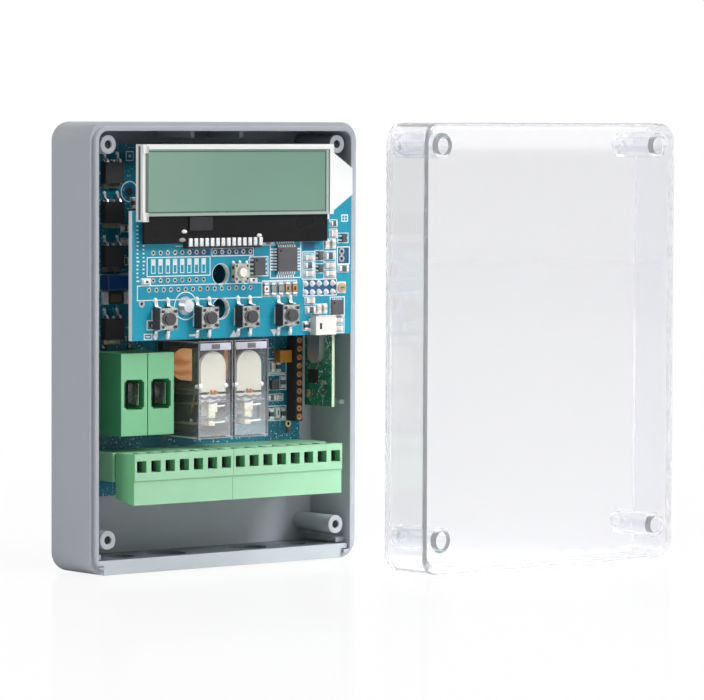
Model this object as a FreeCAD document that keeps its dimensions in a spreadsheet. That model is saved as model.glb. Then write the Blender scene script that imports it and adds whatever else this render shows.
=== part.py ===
"""Gate motor control board: a wall box with its boards, terminals and display.

Row frame, in millimetres: X to the right, Y to the back, Z up. The origin is
the centre of the base's flat back face. The cover stands beside the base, as
it does when the box is open for wiring.
"""
import FreeCAD
import Part
import Sketcher
import math
import operator
import os

Vector = FreeCAD.Vector

SIZES = (
    # base
    ("box_width", 96.0, "outer width of base and cover"),
    ("box_height", 127.5, "outer height of base and cover"),
    ("box_depth", 20.0, "back face to the shoulder that the cover seats on"),
    ("corner_radius", 5.5, "outer corner seen from the front"),
    ("back_edge_radius", 2.5, "rounding of the back edges"),
    ("wall", 2.6, "side wall"),
    ("back_wall", 2.4, "back wall"),
    ("lip_width", 1.3, "tongue on the inner half of the wall"),
    ("lip_height", 1.0, "how far the tongue stands past the shoulder"),
    ("post_x", 41.2, "cover screw post from the middle"),
    ("post_from_top", 6.4, "upper posts below the top face"),
    ("post_from_bottom", 9.8, "lower posts above the bottom"),
    ("post_diameter", 5.3, "cover screw post"),
    ("post_bore", 2.4, "screw bore in the post"),
    ("post_bore_depth", 12.0, "depth of that bore"),
    ("post_recess", 0.5, "post end behind the shoulder"),
    ("foot_height", 2.4, "inturned lip at the bottom corners"),
    ("bottom_opening", 86.4, "width between those lips"),
    ("rail_reach", 2.9, "rail above the entry plate, from the side wall"),
    ("rail_thickness", 1.4, "rail height"),
    ("rail_setback", 2.0, "rail end behind the shoulder"),
    ("side_rib_level", 45.6, "small rib on each side wall above the bottom"),
    ("side_rib_reach", 1.5, "how far that rib stands in"),
    ("top_rib_left", 10.4, "left rib under the top wall from the middle"),
    ("top_rib_right", 7.1, "right rib under the top wall from the middle"),
    ("top_rib_reach", 1.9, "how far those ribs hang down"),
    ("rib_thickness", 1.3, "thickness of the small ribs"),
    ("wall_hole", 4.5, "hole for a wall screw"),
    ("wall_hole_span_x", 56.0, "wall holes, side to side"),
    ("wall_hole_span_z", 60.0, "wall holes, up and down"),
    # cable entry plate
    ("plate_height", 4.1, "plate, from the bottom to its top face"),
    ("plate_fit", 0.2, "running clearance of the plate all round"),
    ("plate_web", 1.7, "plate thickness over its hollow underside"),
    ("plate_rim", 1.8, "skirt round the hollow underside"),
    ("knockout_small", 9.0, "outer knockouts"),
    ("knockout_large", 12.0, "inner knockouts"),
    ("knockout_small_x", 31.0, "outer knockouts from the middle"),
    ("knockout_large_x", 14.7, "inner knockouts from the middle"),
    ("knockout_depth", 1.0, "depth of a knockout's round recess"),
    # cover
    ("cover_depth", 17.5, "shoulder to the cover's front face"),
    ("cover_wall", 2.4, "cover side wall"),
    ("cover_front_wall", 2.2, "cover front wall"),
    ("cover_edge_radius", 1.8, "rounding of the cover's front edges"),
    ("cover_fit", 0.2, "clearance of the cover on lip and posts"),
    ("tube_diameter", 7.2, "screw tube in each corner of the cover"),
    ("tube_counterbore", 5.2, "well for the screw head"),
    ("tube_hole", 3.0, "hole for the screw"),
    ("tube_floor", 2.4, "material under the screw head"),
    ("cover_aside_x", 74.5, "where the cover stands, to the right"),
    ("cover_aside_y", 40.0, "where the cover stands, to the front"),
    # main board
    ("board_gap", 2.0, "board bosses on the back wall"),
    ("board_thickness", 1.6, "main board"),
    ("board_margin", 0.8, "main board past the row of terminals, each side"),
    ("board_top_gap", 6.2, "main board's upper edge below the top face"),
    ("board_height", 100.4, "main board; heights on it start at its lower edge"),
    ("boss_diameter", 6.4, "board boss"),
    ("pilot_bore", 2.5, "screw bore in a boss"),
    ("pilot_depth", 3.2, "depth of that bore"),
    ("plain_hole_x", 34.1, "plated holes at the lower corners"),
    ("plain_hole_level", 16.0, "the same,"),
    ("plain_hole", 2.0, "diameter of the plain board holes"),
    ("spare_hole_x", 23.9, "spare hole at the upper left"),
    ("spare_hole_level", 86.7, "the same,"),
    ("spare_hole", 2.6, "diameter of the spare hole"),
    # display board and what holds it
    ("display_gap", 17.4, "main board to display board"),
    ("display_thickness", 1.6, "display board"),
    ("display_left", 36.9, "display board's left edge from the middle"),
    ("display_right", 42.3, "display board's right edge from the middle"),
    ("display_bottom", 45.1, "display board's lower edge"),
    ("display_notch_level", 81.6, "foot of the notch at its upper left"),
    ("display_notch_x", 32.6, "side of that notch from the middle"),
    ("display_top", 91.1, "display board's upper edge"),
    ("standoff_across", 5.0, "hexagonal standoff across its flats"),
    ("standoff_thread", 2.4, "its threaded end"),
    ("standoff_grip", 4.6, "length of that end"),
    ("standoff_bore", 2.6, "bore for the display screw"),
    ("screw_head", 5.3, "display screw head"),
    ("screw_head_height", 1.7, "height of that head"),
    ("screw_shank", 2.4, "display screw shank"),
    ("screw_length", 6.0, "display screw under its head"),
    ("standoff_low_x", 18.1, "lower standoff from the middle"),
    ("standoff_low_level", 54.6, "the same,"),
    ("standoff_high_x", 22.0, "upper standoffs from the middle"),
    ("standoff_high_level", 78.1, "the same,"),
    ("access_hole", 5.8, "round hole through the display board"),
    ("access_hole_x", 5.6, "access holes from the middle"),
    ("access_hole_high", 63.3, "upper access hole"),
    ("access_hole_low", 53.5, "lower access hole"),
    # board link
    ("link_x", 30.3, "middle of the board link"),
    ("link_level", 58.7, "the same,"),
    ("link_pitch", 2.54, "pin pitch of the link"),
    ("link_columns", 5, "pins in a row of the link"),
    ("link_socket_height", 14.0, "socket on the main board"),
    ("link_header_height", 2.5, "header under the display board"),
    ("link_row_width", 5.1, "link body, up and down"),
    ("link_pin", 0.64, "square pin"),
    ("link_pin_proud", 0.9, "pin past the display board's face"),
    ("link_pin_reach", 10.0, "pin below the display board"),
    # display
    ("lcd_left", 35.6, "display's left end from the middle"),
    ("lcd_glass_left", 34.2, "glass, left edge from the middle"),
    ("lcd_glass_right", 31.6, "glass, right edge from the middle"),
    ("lcd_top", 100.3, "display's upper edge"),
    ("lcd_view_bottom", 80.1, "foot of the upper glass"),
    ("lcd_ledge_bottom", 72.3, "foot of the lower glass"),
    ("lcd_light_thickness", 1.2, "light guide behind the glass"),
    ("lcd_glass_thickness", 1.0, "each sheet of glass"),
    ("lcd_edge", 1.5, "guide edge that stands past the glass on top"),
    ("lcd_tab_height", 2.5, "tab that holds the glass at each left corner"),
    ("lcd_tab_lap", 0.5, "how far a tab laps the glass"),
    ("lcd_tail_reach", 10.1, "tapered tail to the right of the glass"),
    ("lcd_tail_rise", 5.6, "slope height of that tail"),
    ("lcd_pin_count", 14, "contact clips"),
    ("lcd_pin_pitch", 1.93, "clip pitch"),
    ("lcd_pin_first", 18.2, "first clip from the middle, to the left"),
    ("lcd_pin_width", 1.0, "clip width"),
    ("lcd_pin_metal", 0.25, "clip thickness"),
    ("lcd_pin_lap", 1.4, "clip on the glass and on the board"),
    ("driver_width", 8.0, "driver chip on the ledge"),
    ("driver_height", 3.9, "driver chip on the ledge"),
    ("driver_x", 14.6, "driver chip from the middle, to the left"),
    ("driver_level", 77.9, "driver chip"),
    ("driver_thickness", 0.5, "driver chip"),
    # push switches
    ("switch_size", 6.0, "switch body, square"),
    ("switch_height", 3.3, "plastic body of a switch"),
    ("switch_plate", 0.3, "metal face of a switch"),
    ("switch_first_x", 26.6, "first switch from the middle, to the left"),
    ("switch_pitch", 14.65, "switch to switch"),
    ("switch_level", 51.2, "switches"),
    ("plunger_diameter", 3.5, "switch plunger"),
    ("plunger_proud", 1.1, "plunger past the metal face"),
    ("plunger_seat", 1.2, "plunger inside the body"),
    ("plunger_travel", 0.25, "how far a plunger goes in"),
    ("plunger_fit", 0.1, "clearance round a plunger"),
    ("leg_width", 0.7, "switch leg"),
    ("leg_reach", 1.7, "switch leg past the body"),
    ("leg_metal", 0.3, "switch leg thickness"),
    ("reset_width", 5.0, "reset switch"),
    ("reset_depth", 4.8, "reset switch, up and down"),
    ("reset_height", 1.9, "reset switch, off the board"),
    ("reset_x", 0.7, "reset switch from the middle"),
    ("reset_level", 63.8, "reset switch"),
    ("reset_plunger", 2.6, "reset plunger"),
    ("reset_proud", 0.7, "reset plunger past the switch's face"),
    # parts on the display board
    ("processor_size", 7.0, "square controller"),
    ("processor_x", 17.7, "controller from the middle"),
    ("processor_level", 67.2, "controller"),
    ("memory_width", 3.9, "memory chip"),
    ("memory_height", 4.9, "memory chip"),
    ("memory_x", 7.6, "memory chip from the middle"),
    ("memory_level", 65.3, "memory chip"),
    ("regulator_size", 4.2, "dark square regulator"),
    ("regulator_x", 36.8, "regulator from the middle"),
    ("regulator_level", 52.9, "regulator"),
    ("chip_thickness", 1.4, "chip body"),
    ("usb_width", 7.5, "micro socket"),
    ("usb_length", 5.6, "micro socket"),
    ("usb_height", 2.7, "micro socket"),
    ("usb_wall", 0.4, "sheet of the socket"),
    ("usb_x", 30.8, "socket from the middle"),
    ("resistor_pitch", 2.6, "row of small resistors"),
    ("resistor_width", 1.5, "small resistor"),
    ("resistor_length", 3.2, "small resistor"),
    ("resistor_height", 0.6, "small resistor"),
    ("resistor_first_x", 10.6, "first of the row from the middle"),
    ("resistor_level", 58.8, "the row"),
    # parts on the main board
    ("transistor_width", 6.5, "power transistor"),
    ("transistor_height", 6.0, "power transistor"),
    ("transistor_thickness", 2.3, "power transistor"),
    ("transistor_x", 30.6, "transistors from the middle, to the left"),
    ("transistor_tab", 1.2, "metal tab past the body"),
    ("transistor_leg", 2.4, "legs past the body"),
    ("transistor_1", 92.1, "uppermost transistor"),
    ("transistor_2", 80.8, "second transistor"),
    ("transistor_3", 68.4, "third transistor"),
    ("transistor_4", 47.7, "lowest transistor"),
    ("blue_width", 9.0, "blue capacitor"),
    ("blue_height", 4.2, "blue capacitor"),
    ("blue_thickness", 3.6, "blue capacitor"),
    ("blue_x", 29.4, "blue capacitor from the middle, to the left"),
    ("blue_level", 60.9, "blue capacitor"),
    ("shunt_width", 8.8, "large flat resistor"),
    ("shunt_height", 3.4, "large flat resistor"),
    ("shunt_thickness", 1.2, "large flat resistor"),
    ("shunt_level", 56.5, "large flat resistor"),
    ("tantalum_width", 4.4, "orange capacitor"),
    ("tantalum_height", 3.6, "orange capacitor"),
    ("tantalum_thickness", 2.8, "orange capacitor"),
    ("tantalum_x", 31.0, "orange capacitor from the middle"),
    ("tantalum_level", 38.0, "orange capacitor"),
    ("can_diameter", 10.0, "smoothing capacitor"),
    ("can_height", 14.0, "smoothing capacitor"),
    ("can_x", 6.0, "smoothing capacitor from the middle"),
    ("can_level", 71.1, "smoothing capacitor"),
    ("controller_x", 10.0, "main controller from the middle, to the left"),
    ("controller_level", 65.1, "main controller"),
    ("controller_width", 7.5, "main controller"),
    ("controller_height", 12.0, "main controller"),
    ("small_chip", 2.8, "small chip"),
    ("small_chip_thickness", 1.0, "small chip"),
    ("driver_pair_x", 24.2, "left chip of a pair from the middle"),
    ("driver_pair_pitch", 4.4, "chip to chip"),
    ("driver_pair_level", 29.6, "that pair"),
    ("supply_chip_level", 22.2, "chip below the pair"),
    ("supply_chip_height", 4.0, "chip below the pair"),
    # receiver module and its socket strip
    ("strip_x", 34.8, "socket strip from the middle"),
    ("strip_width", 2.5, "socket strip"),
    ("strip_height", 4.2, "socket strip"),
    ("strip_first", 20.2, "lowest contact"),
    ("strip_pitch", 2.5, "contact pitch"),
    ("strip_count", 14, "contacts in the strip"),
    ("contact_diameter", 1.7, "turned contact"),
    ("contact_bore", 0.9, "its hole"),
    ("contact_proud", 0.2, "rim of the contact past the strip"),
    ("module_x", 37.2, "receiver board's left face from the middle"),
    ("module_thickness", 1.0, "receiver board"),
    ("module_bottom", 23.7, "receiver board"),
    ("module_height", 36.0, "receiver board"),
    ("module_depth", 12.6, "receiver board, front to back"),
    ("pin_bend", 1.6, "bend of a receiver pin in front of the strip"),
    ("pin_dip", 1.8, "receiver pin inside its contact"),
    ("module_gap", 3.9, "receiver board's back edge over the main board"),
    ("crystal_width", 5.6, "oval can, front to back"),
    ("crystal_height", 11.6, "oval can, up and down"),
    ("crystal_thickness", 1.9, "oval can"),
    ("crystal_level", 42.1, "oval can"),
    # power terminals
    ("power_width", 9.1, "one power terminal"),
    ("power_height", 23.3, "one power terminal"),
    ("power_depth", 15.0, "one power terminal, off the board"),
    ("power_left", 37.7, "left terminal's left face from the middle"),
    ("power_seam", 0.3, "gap between the two"),
    ("power_bottom", 18.1, "terminals"),
    ("power_mouth_width", 6.9, "wire opening"),
    ("power_mouth_height", 8.5, "wire opening"),
    ("power_mouth_level", 29.7, "middle of the wire opening"),
    ("power_mouth_depth", 8.0, "wire opening"),
    ("power_plate", 1.2, "clamp plate in the opening"),
    ("joint_dome", 2.0, "soldered tail above a terminal"),
    ("joint_level", 42.45, "the same,"),
    # relays
    ("relay_width", 12.4, "relay case"),
    ("relay_height", 28.0, "relay case"),
    ("relay_depth", 20.0, "relay case, off the board"),
    ("relay_wall", 0.7, "relay case wall"),
    ("relay_left_x", 8.1, "left relay's middle, to the left"),
    ("relay_pitch", 12.9, "relay to relay"),
    ("relay_bottom", 16.5, "relays"),
    ("relay_fit", 0.15, "clearance inside the case"),
    ("relay_base", 3.0, "relay base thickness"),
    ("yoke_metal", 1.2, "yoke sheet"),
    ("yoke_width", 8.6, "yoke sheet width"),
    ("yoke_level", 12.4, "yoke leg above the relay's foot"),
    ("core_diameter", 3.6, "coil core"),
    ("core_level", 20.6, "coil axis above the relay's foot"),
    ("bobbin_flange", 1.0, "bobbin flange"),
    ("bobbin_height", 10.4, "bobbin flange height"),
    ("bobbin_tube", 5.2, "bobbin tube"),
    ("coil_diameter", 9.2, "winding"),
    ("coil_length", 10.6, "winding"),
    ("pole_gap", 0.45, "armature to core"),
    ("armature_metal", 1.1, "armature plate"),
    ("armature_width", 8.9, "armature plate width"),
    ("armature_foot", 13.3, "armature plate's foot above the relay's foot"),
    ("armature_top", 24.9, "armature plate's top above the relay's foot"),
    ("pivot_level", 15.0, "armature pivot above the relay's foot"),
    ("arm_width", 3.0, "contact arm"),
    ("arm_metal", 0.45, "contact arm sheet"),
    ("arm_level", 7.6, "contact arm above the relay's foot"),
    ("contact_button", 3.2, "contact rivet"),
    ("moving_contact_drop", 2.4, "moving contact below the arm"),
    ("moving_contact_rise", 0.4, "moving contact above the arm"),
    ("rest_gap", 0.1, "upper contact above the moving one"),
    ("leaf_height", 2.2, "leaf spring below the armature"),
    ("leaf_gap", 0.7, "leaf spring's top below the armature's foot"),
    ("contact_button_height", 0.8, "fixed contact rivet"),
    ("contact_gap", 0.3, "open contacts"),
    ("contact_y", 15.5, "contact axis off the board"),
    ("relay_pin_width", 0.9, "relay pin"),
    # terminal header and plugs
    ("terminal_pitch", 5.0, "way to way"),
    ("left_ways", 7, "ways of the left plug"),
    ("right_ways", 8, "ways of the right plug"),
    ("plug_seam", 0.1, "gap between the plugs"),
    ("plug_top", 13.3, "plugs' top face"),
    ("plug_height", 14.4, "plug front"),
    ("plug_nose", 9.1, "plug in front of the header"),
    ("plug_tongue", 8.4, "plug inside the header"),
    ("plug_slope", 1.6, "rise of the plug's underside to the back"),
    ("plug_step", 6.9, "height of the front panel below the openings"),
    ("plug_step_depth", 0.35, "how far that panel steps back"),
    ("header_height", 8.2, "header, up and down"),
    ("header_depth", 12.0, "header, off the board"),
    ("header_wall", 0.8, "header wall"),
    ("header_floor", 3.0, "header floor on the board"),
    ("header_fit", 0.15, "clearance of a plug in the header"),
    ("pin_size", 1.0, "header pin"),
    ("pin_length", 7.0, "header pin inside the header"),
    ("pin_slot", 1.8, "pin slot in a plug"),
    ("wire_hole", 3.3, "square wire opening"),
    ("wire_hole_drop", 1.9, "opening below the plug's top face"),
    ("well_width", 3.7, "screw well in the top face"),
    ("well_length", 4.3, "screw well, front to back"),
    ("well_start", 2.4, "screw well behind the front face"),
    ("well_floor", 6.2, "depth of the screw well"),
    ("cage_metal", 0.6, "wire clamp sheet"),
    ("cage_fit", 0.1, "clearance of a clamp in its well"),
    ("clamp_screw", 3.0, "clamp screw"),
    ("clamp_screw_sink", 0.6, "screw head below the top face"),
)

doc = FreeCAD.newDocument("gate_control_board")


class Size:
    """A length that knows both its value and its formula in the sheet."""

    def __init__(self, value, formula):
        self.value = float(value)
        self.formula = formula

    def __add__(self, other):
        return combined(self, "+", other)

    def __radd__(self, other):
        return combined(other, "+", self)

    def __sub__(self, other):
        return combined(self, "-", other)

    def __rsub__(self, other):
        return combined(other, "-", self)

    def __mul__(self, other):
        return combined(self, "*", other)

    def __rmul__(self, other):
        return combined(other, "*", self)

    def __truediv__(self, other):
        return combined(self, "/", other)

    def __neg__(self):
        return Size(-self.value, "(0 - " + self.formula + ")")

    def __float__(self):
        return self.value


SIGNS = {"+": operator.add, "-": operator.sub, "*": operator.mul, "/": operator.truediv}


def combined(first, sign, second):
    """The sum, difference, product or ratio of two sizes or numbers."""
    texts = [side.formula if isinstance(side, Size) else repr(side) for side in (first, second)]
    value = SIGNS[sign](float(first), float(second))
    return Size(value, "(" + texts[0] + " " + sign + " " + texts[1] + ")")


class Sizes:
    """Every named size of the sheet, read as an attribute."""


def fill_sheet():
    """Write the driving sizes into the document's sheet and return them."""
    sheet = doc.addObject("Spreadsheet::Sheet", "Sizes")
    named = Sizes()
    for number, (alias, value, meaning) in enumerate(SIZES, start=1):
        sheet.set("A%d" % number, meaning)
        sheet.set("B%d" % number, str(value))
        sheet.setAlias("B%d" % number, alias)
        setattr(named, alias, Size(value, "Sizes." + alias))
    doc.recompute()
    return named


s = fill_sheet()

# Planes that many pieces share. Y is negative towards the front.
SHOULDER = -s.box_depth
LIP_FRONT = SHOULDER - s.lip_height
INNER_BACK = -s.back_wall
BOARD_BACK = INNER_BACK - s.board_gap
BOARD_FRONT = BOARD_BACK - s.board_thickness
SCREEN_BACK = BOARD_FRONT - s.display_gap
SCREEN_FRONT = SCREEN_BACK - s.display_thickness
GUIDE_FRONT = SCREEN_FRONT - s.lcd_light_thickness
GLASS_MIDDLE = GUIDE_FRONT - s.lcd_glass_thickness
GLASS_FRONT = GLASS_MIDDLE - s.lcd_glass_thickness
FLOOR = -s.box_height / 2
WAYS = s.left_ways + s.right_ways
ROW_LEFT = -s.terminal_pitch * WAYS / 2
BOARD_WIDTH = s.terminal_pitch * WAYS + 2 * s.board_margin
BOARD_LOW = s.box_height / 2 - s.board_top_gap - s.board_height
TURN_TO_FRONT = FreeCAD.Rotation(Vector(1, 0, 0), 90)
TURN_TO_SIDE = FreeCAD.Rotation(Vector(0, 1, 0), 90)
SUBPARTS = []


def level(height):
    """Row Z of a height above the bottom of the box."""
    return height + FLOOR


def up(height):
    """Row Z of a height above the main board's lower edge."""
    return height + BOARD_LOW


def bind(target, name, size):
    """Set a property, bound to the sheet where the size comes from it."""
    if isinstance(size, Size):
        target.setExpression(name, size.formula)
    else:
        setattr(target, name, size)


def place(target, corner):
    """Move an object to a corner given as three sizes or numbers."""
    start = target.Placement
    start.Base = Vector(*(float(value) for value in corner))
    target.Placement = start
    for axis, value in zip("xyz", corner):
        if isinstance(value, Size):
            target.setExpression("Placement.Base." + axis, value.formula)


def block(name, corner, spans):
    """A box from its lowest corner and its three spans."""
    box = doc.addObject("Part::Box", name)
    for prop, span in zip(("Length", "Width", "Height"), spans):
        bind(box, prop, span)
    place(box, corner)
    return box


def centred(name, middle, front, spans):
    """A box by its middle X and Z, its front plane and its three spans."""
    width, depth, height = spans
    return block(name, (middle[0] - width / 2, front, middle[1] - height / 2), spans)


def rod(name, start, diameter, length, turn=TURN_TO_FRONT):
    """A round bar that starts at a point and runs to the front, or along the turn."""
    bar = doc.addObject("Part::Cylinder", name)
    bar.Placement = FreeCAD.Placement(Vector(), turn)
    bind(bar, "Radius", diameter / 2)
    bind(bar, "Height", length)
    place(bar, start)
    return bar


def hexagon(name, start, across, length):
    """A hexagonal bar by its width across flats, running to the front."""
    bar = doc.addObject("Part::Prism", name)
    bar.Polygon = 6
    bar.Placement = FreeCAD.Placement(Vector(), TURN_TO_FRONT)
    bind(bar, "Circumradius", across / math.sqrt(3))
    bind(bar, "Height", length)
    place(bar, start)
    return bar


def joined(name, pieces):
    """One solid made of pieces that meet."""
    union = doc.addObject("Part::MultiFuse", name)
    union.Shapes = pieces
    return union


def grouped(name, pieces):
    """Separate solids kept under one name."""
    group = doc.addObject("Part::Compound", name)
    group.Links = pieces
    return group


def without(name, base, tools):
    """The base with every tool cut away."""
    cut = doc.addObject("Part::Cut", name)
    cut.Base = base
    cut.Tool = tools[0] if len(tools) == 1 else grouped(name + "_tools", tools)
    return cut


def rounded(name, base, radius, keep):
    """The base with the edges that keep() picks rounded."""
    doc.recompute()
    result = doc.addObject("Part::Fillet", name)
    result.Base = base
    numbers = [i for i, edge in enumerate(base.Shape.Edges, start=1) if keep(edge)]
    result.Edges = [(i, float(radius), float(radius)) for i in numbers]
    return result


def subpart(node, feature):
    """Register the feature as a sub-part under the name of its file."""
    feature.Label = node
    SUBPARTS.append((node, feature))
    return feature


def runs_along(edge, axis):
    """True for a straight edge along one axis."""
    if edge.Curve.TypeId != "Part::GeomLine":
        return False
    ends = edge.Vertexes[0].Point - edge.Vertexes[-1].Point
    ends.normalize()
    return abs(abs(ends.dot(axis)) - 1.0) < 1e-6


def lies_at_y(edge, height):
    """True for an edge that lies in one front plane."""
    box = edge.BoundBox
    return abs(box.YMin - float(height)) < 1e-4 and abs(box.YMax - float(height)) < 1e-4


ALONG_X = Vector(1, 0, 0)
ALONG_Y = Vector(0, 1, 0)
ALONG_Z = Vector(0, 0, 1)


class Carved:
    """A body made by sketches that look at the object from the front."""

    def __init__(self, name):
        self.body = doc.addObject("PartDesign::Body", name)
        self.count = 0

    def sketch(self, plane_y):
        """A sketch in the plane at one Y, with its x along X and its y along Z."""
        self.count += 1
        sketch = self.body.newObject("Sketcher::SketchObject", "%s_s%d" % (self.body.Name, self.count))
        roles = {item.Role: item for item in self.body.Origin.OriginFeatures}
        sketch.AttachmentSupport = [(roles["XZ_Plane"], "")]
        sketch.MapMode = "FlatFace"
        sketch.AttachmentOffset = FreeCAD.Placement(Vector(0, 0, -float(plane_y)), FreeCAD.Rotation())
        if isinstance(plane_y, Size):
            sketch.setExpression("AttachmentOffset.Base.z", (-plane_y).formula)
        return sketch

    def feature(self, kind, sketch, length, flip):
        """A pad or a pocket of one length, turned over where flip says."""
        self.count += 1
        made = self.body.newObject("PartDesign::" + kind, "%s_f%d" % (self.body.Name, self.count))
        made.Profile = sketch
        bind(made, "Length", length)
        made.Reversed = flip
        doc.recompute()
        return made

    def pad(self, sketch, length, to_back=False):
        """Add material from the sketch to the front, or to the back."""
        return self.feature("Pad", sketch, length, to_back)

    def pocket(self, sketch, length, to_front=False):
        """Take material from the sketch to the back, or to the front."""
        return self.feature("Pocket", sketch, length, to_front)

    def fillet(self, radius, keep):
        """Round the edges of the tip that keep() picks."""
        tip = self.body.Tip
        names = ["Edge%d" % i for i, edge in enumerate(tip.Shape.Edges, start=1) if keep(edge)]
        self.count += 1
        made = self.body.newObject("PartDesign::Fillet", "%s_f%d" % (self.body.Name, self.count))
        made.Base = (tip, names)
        bind(made, "Radius", radius)
        doc.recompute()
        return made


def pin_point(sketch, geometry, which, point):
    """Hold a sketch point at two sizes from the origin."""
    for kind, value in zip(("DistanceX", "DistanceY"), point):
        number = sketch.addConstraint(Sketcher.Constraint(kind, -1, 1, geometry, which, float(value)))
        if isinstance(value, Size):
            sketch.setExpression("Constraints[%d]" % number, value.formula)


def outline(sketch, points):
    """A closed outline of straight lines through the points."""
    spots = [Vector(float(x), float(y), 0) for x, y in points]
    first = sketch.GeometryCount
    for start, end in zip(spots, spots[1:] + spots[:1]):
        sketch.addGeometry(Part.LineSegment(start, end))
    for step in range(len(spots)):
        after = first + (step + 1) % len(spots)
        sketch.addConstraint(Sketcher.Constraint("Coincident", first + step, 2, after, 1))
    for step, point in enumerate(points):
        pin_point(sketch, first + step, 1, point)


def frame(sketch, low, high):
    """A rectangle between two corners."""
    outline(sketch, [low, (high[0], low[1]), high, (low[0], high[1])])


def soft_frame(sketch, low, high, radius):
    """A rectangle between two corners, with rounded corners."""
    left, right = low[0] + radius, high[0] - radius
    under, over = low[1] + radius, high[1] - radius
    centres = [(right, under), (right, over), (left, over), (left, under)]
    first = sketch.GeometryCount
    round_by = float(radius)
    for step, centre in enumerate(centres):
        before = centres[step - 1]
        turn = math.radians(90.0 * step - 90.0)
        out = Vector(math.cos(turn), math.sin(turn), 0) * round_by
        start = Vector(float(before[0]), float(before[1]), 0) + out
        middle = Vector(float(centre[0]), float(centre[1]), 0)
        sketch.addGeometry(Part.LineSegment(start, middle + out))
        ring = Part.Circle(middle, Vector(0, 0, 1), round_by)
        sketch.addGeometry(Part.ArcOfCircle(ring, turn, turn + math.pi / 2))
    for step, centre in enumerate(centres):
        line, arc = first + 2 * step, first + 2 * step + 1
        after = first + (2 * step + 2) % 8
        sketch.addConstraint(Sketcher.Constraint("Tangent", line, 2, arc, 1))
        sketch.addConstraint(Sketcher.Constraint("Tangent", arc, 2, after, 1))
        pin_point(sketch, arc, 3, centre)
        held = sketch.addConstraint(Sketcher.Constraint("Radius", arc, round_by))
        if isinstance(radius, Size):
            sketch.setExpression("Constraints[%d]" % held, radius.formula)


def circle(sketch, middle, diameter):
    """A circle held by its middle and its radius."""
    spot = Vector(float(middle[0]), float(middle[1]), 0)
    radius = diameter / 2
    number = sketch.addGeometry(Part.Circle(spot, Vector(0, 0, 1), float(radius)))
    pin_point(sketch, number, 3, middle)
    held = sketch.addConstraint(Sketcher.Constraint("Radius", number, float(radius)))
    if isinstance(radius, Size):
        sketch.setExpression("Constraints[%d]" % held, radius.formula)


def post_middles():
    """The four cover screw axes, as X and Z."""
    top = level(s.box_height - s.post_from_top)
    low = level(s.post_from_bottom)
    return [(side * s.post_x, z) for z in (top, low) for side in (-1, 1)]


def standoff_middles():
    """The display standoffs, as X and Z: the one with a screw first."""
    high = up(s.standoff_high_level)
    return [(-s.standoff_low_x, up(s.standoff_low_level)),
            (-s.standoff_high_x, high), (s.standoff_high_x, high)]


def plain_hole_middles():
    """The plated holes at the main board's lower corners, as X and Z."""
    return [(side * s.plain_hole_x, up(s.plain_hole_level)) for side in (-1, 1)]


def base_housing():
    """The grey base: a shell with a tongue, screw posts, rails, ribs and bosses."""
    half = s.box_width / 2
    high = s.box_height / 2
    shell = Carved("base_housing")
    sketch = shell.sketch(0.0)
    soft_frame(sketch, (-half, FLOOR), (half, high), s.corner_radius)
    shell.pad(sketch, s.box_depth)
    shell.fillet(s.back_edge_radius, lambda edge: lies_at_y(edge, 0.0))

    inset = s.wall - s.lip_width
    sketch = shell.sketch(SHOULDER)
    soft_frame(sketch, (-half + inset, FLOOR + inset), (half - inset, high - inset),
               s.corner_radius - inset)
    shell.pad(sketch, s.lip_height)

    inner = half - s.wall
    slot = s.bottom_opening / 2
    foot = FLOOR + s.foot_height
    below = FLOOR - s.wall
    sketch = shell.sketch(LIP_FRONT)
    outline(sketch, [(-inner, foot), (-slot, foot), (-slot, below), (slot, below),
                     (slot, foot), (inner, foot), (inner, high - s.wall), (-inner, high - s.wall)])
    shell.pocket(sketch, s.box_depth + s.lip_height - s.back_wall)
    roof = float(high - s.wall)
    shell.fillet(s.corner_radius - s.wall,
                 lambda edge: runs_along(edge, ALONG_Y) and abs(edge.BoundBox.ZMax - roof) < 1e-4)

    sketch = shell.sketch(INNER_BACK)
    for middle in post_middles():
        circle(sketch, middle, s.post_diameter)
    shell.pad(sketch, s.box_depth - s.back_wall - s.post_recess)
    sketch = shell.sketch(SHOULDER + s.post_recess)
    for middle in post_middles():
        circle(sketch, middle, s.post_bore)
    shell.pocket(sketch, s.post_bore_depth)

    rail_low = FLOOR + s.plate_height + s.plate_fit
    rib_low = level(s.side_rib_level) - s.rib_thickness / 2
    sketch = shell.sketch(INNER_BACK)
    for side in (-1, 1):
        near, far = side * (inner - s.rail_reach), side * inner
        frame(sketch, (near, rail_low), (far, rail_low + s.rail_thickness))
        near = side * (inner - s.side_rib_reach)
        frame(sketch, (near, rib_low), (far, rib_low + s.rib_thickness))
    for middle in (-s.top_rib_left, s.top_rib_right):
        frame(sketch, (middle - s.rib_thickness / 2, high - s.wall - s.top_rib_reach),
              (middle + s.rib_thickness / 2, high - s.wall))
    shell.pad(sketch, s.box_depth - s.back_wall - s.rail_setback)

    sketch = shell.sketch(INNER_BACK)
    for middle in standoff_middles() + plain_hole_middles():
        circle(sketch, middle, s.boss_diameter)
    shell.pad(sketch, s.board_gap)
    sketch = shell.sketch(BOARD_BACK)
    for middle in standoff_middles() + plain_hole_middles():
        circle(sketch, middle, s.pilot_bore)
    shell.pocket(sketch, s.pilot_depth)

    sketch = shell.sketch(INNER_BACK)
    for side in (-1, 1):
        for row in (-1, 1):
            circle(sketch, (side * s.wall_hole_span_x / 2, row * s.wall_hole_span_z / 2), s.wall_hole)
    shell.pocket(sketch, s.back_wall)
    subpart("base_housing", shell.body)


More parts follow.
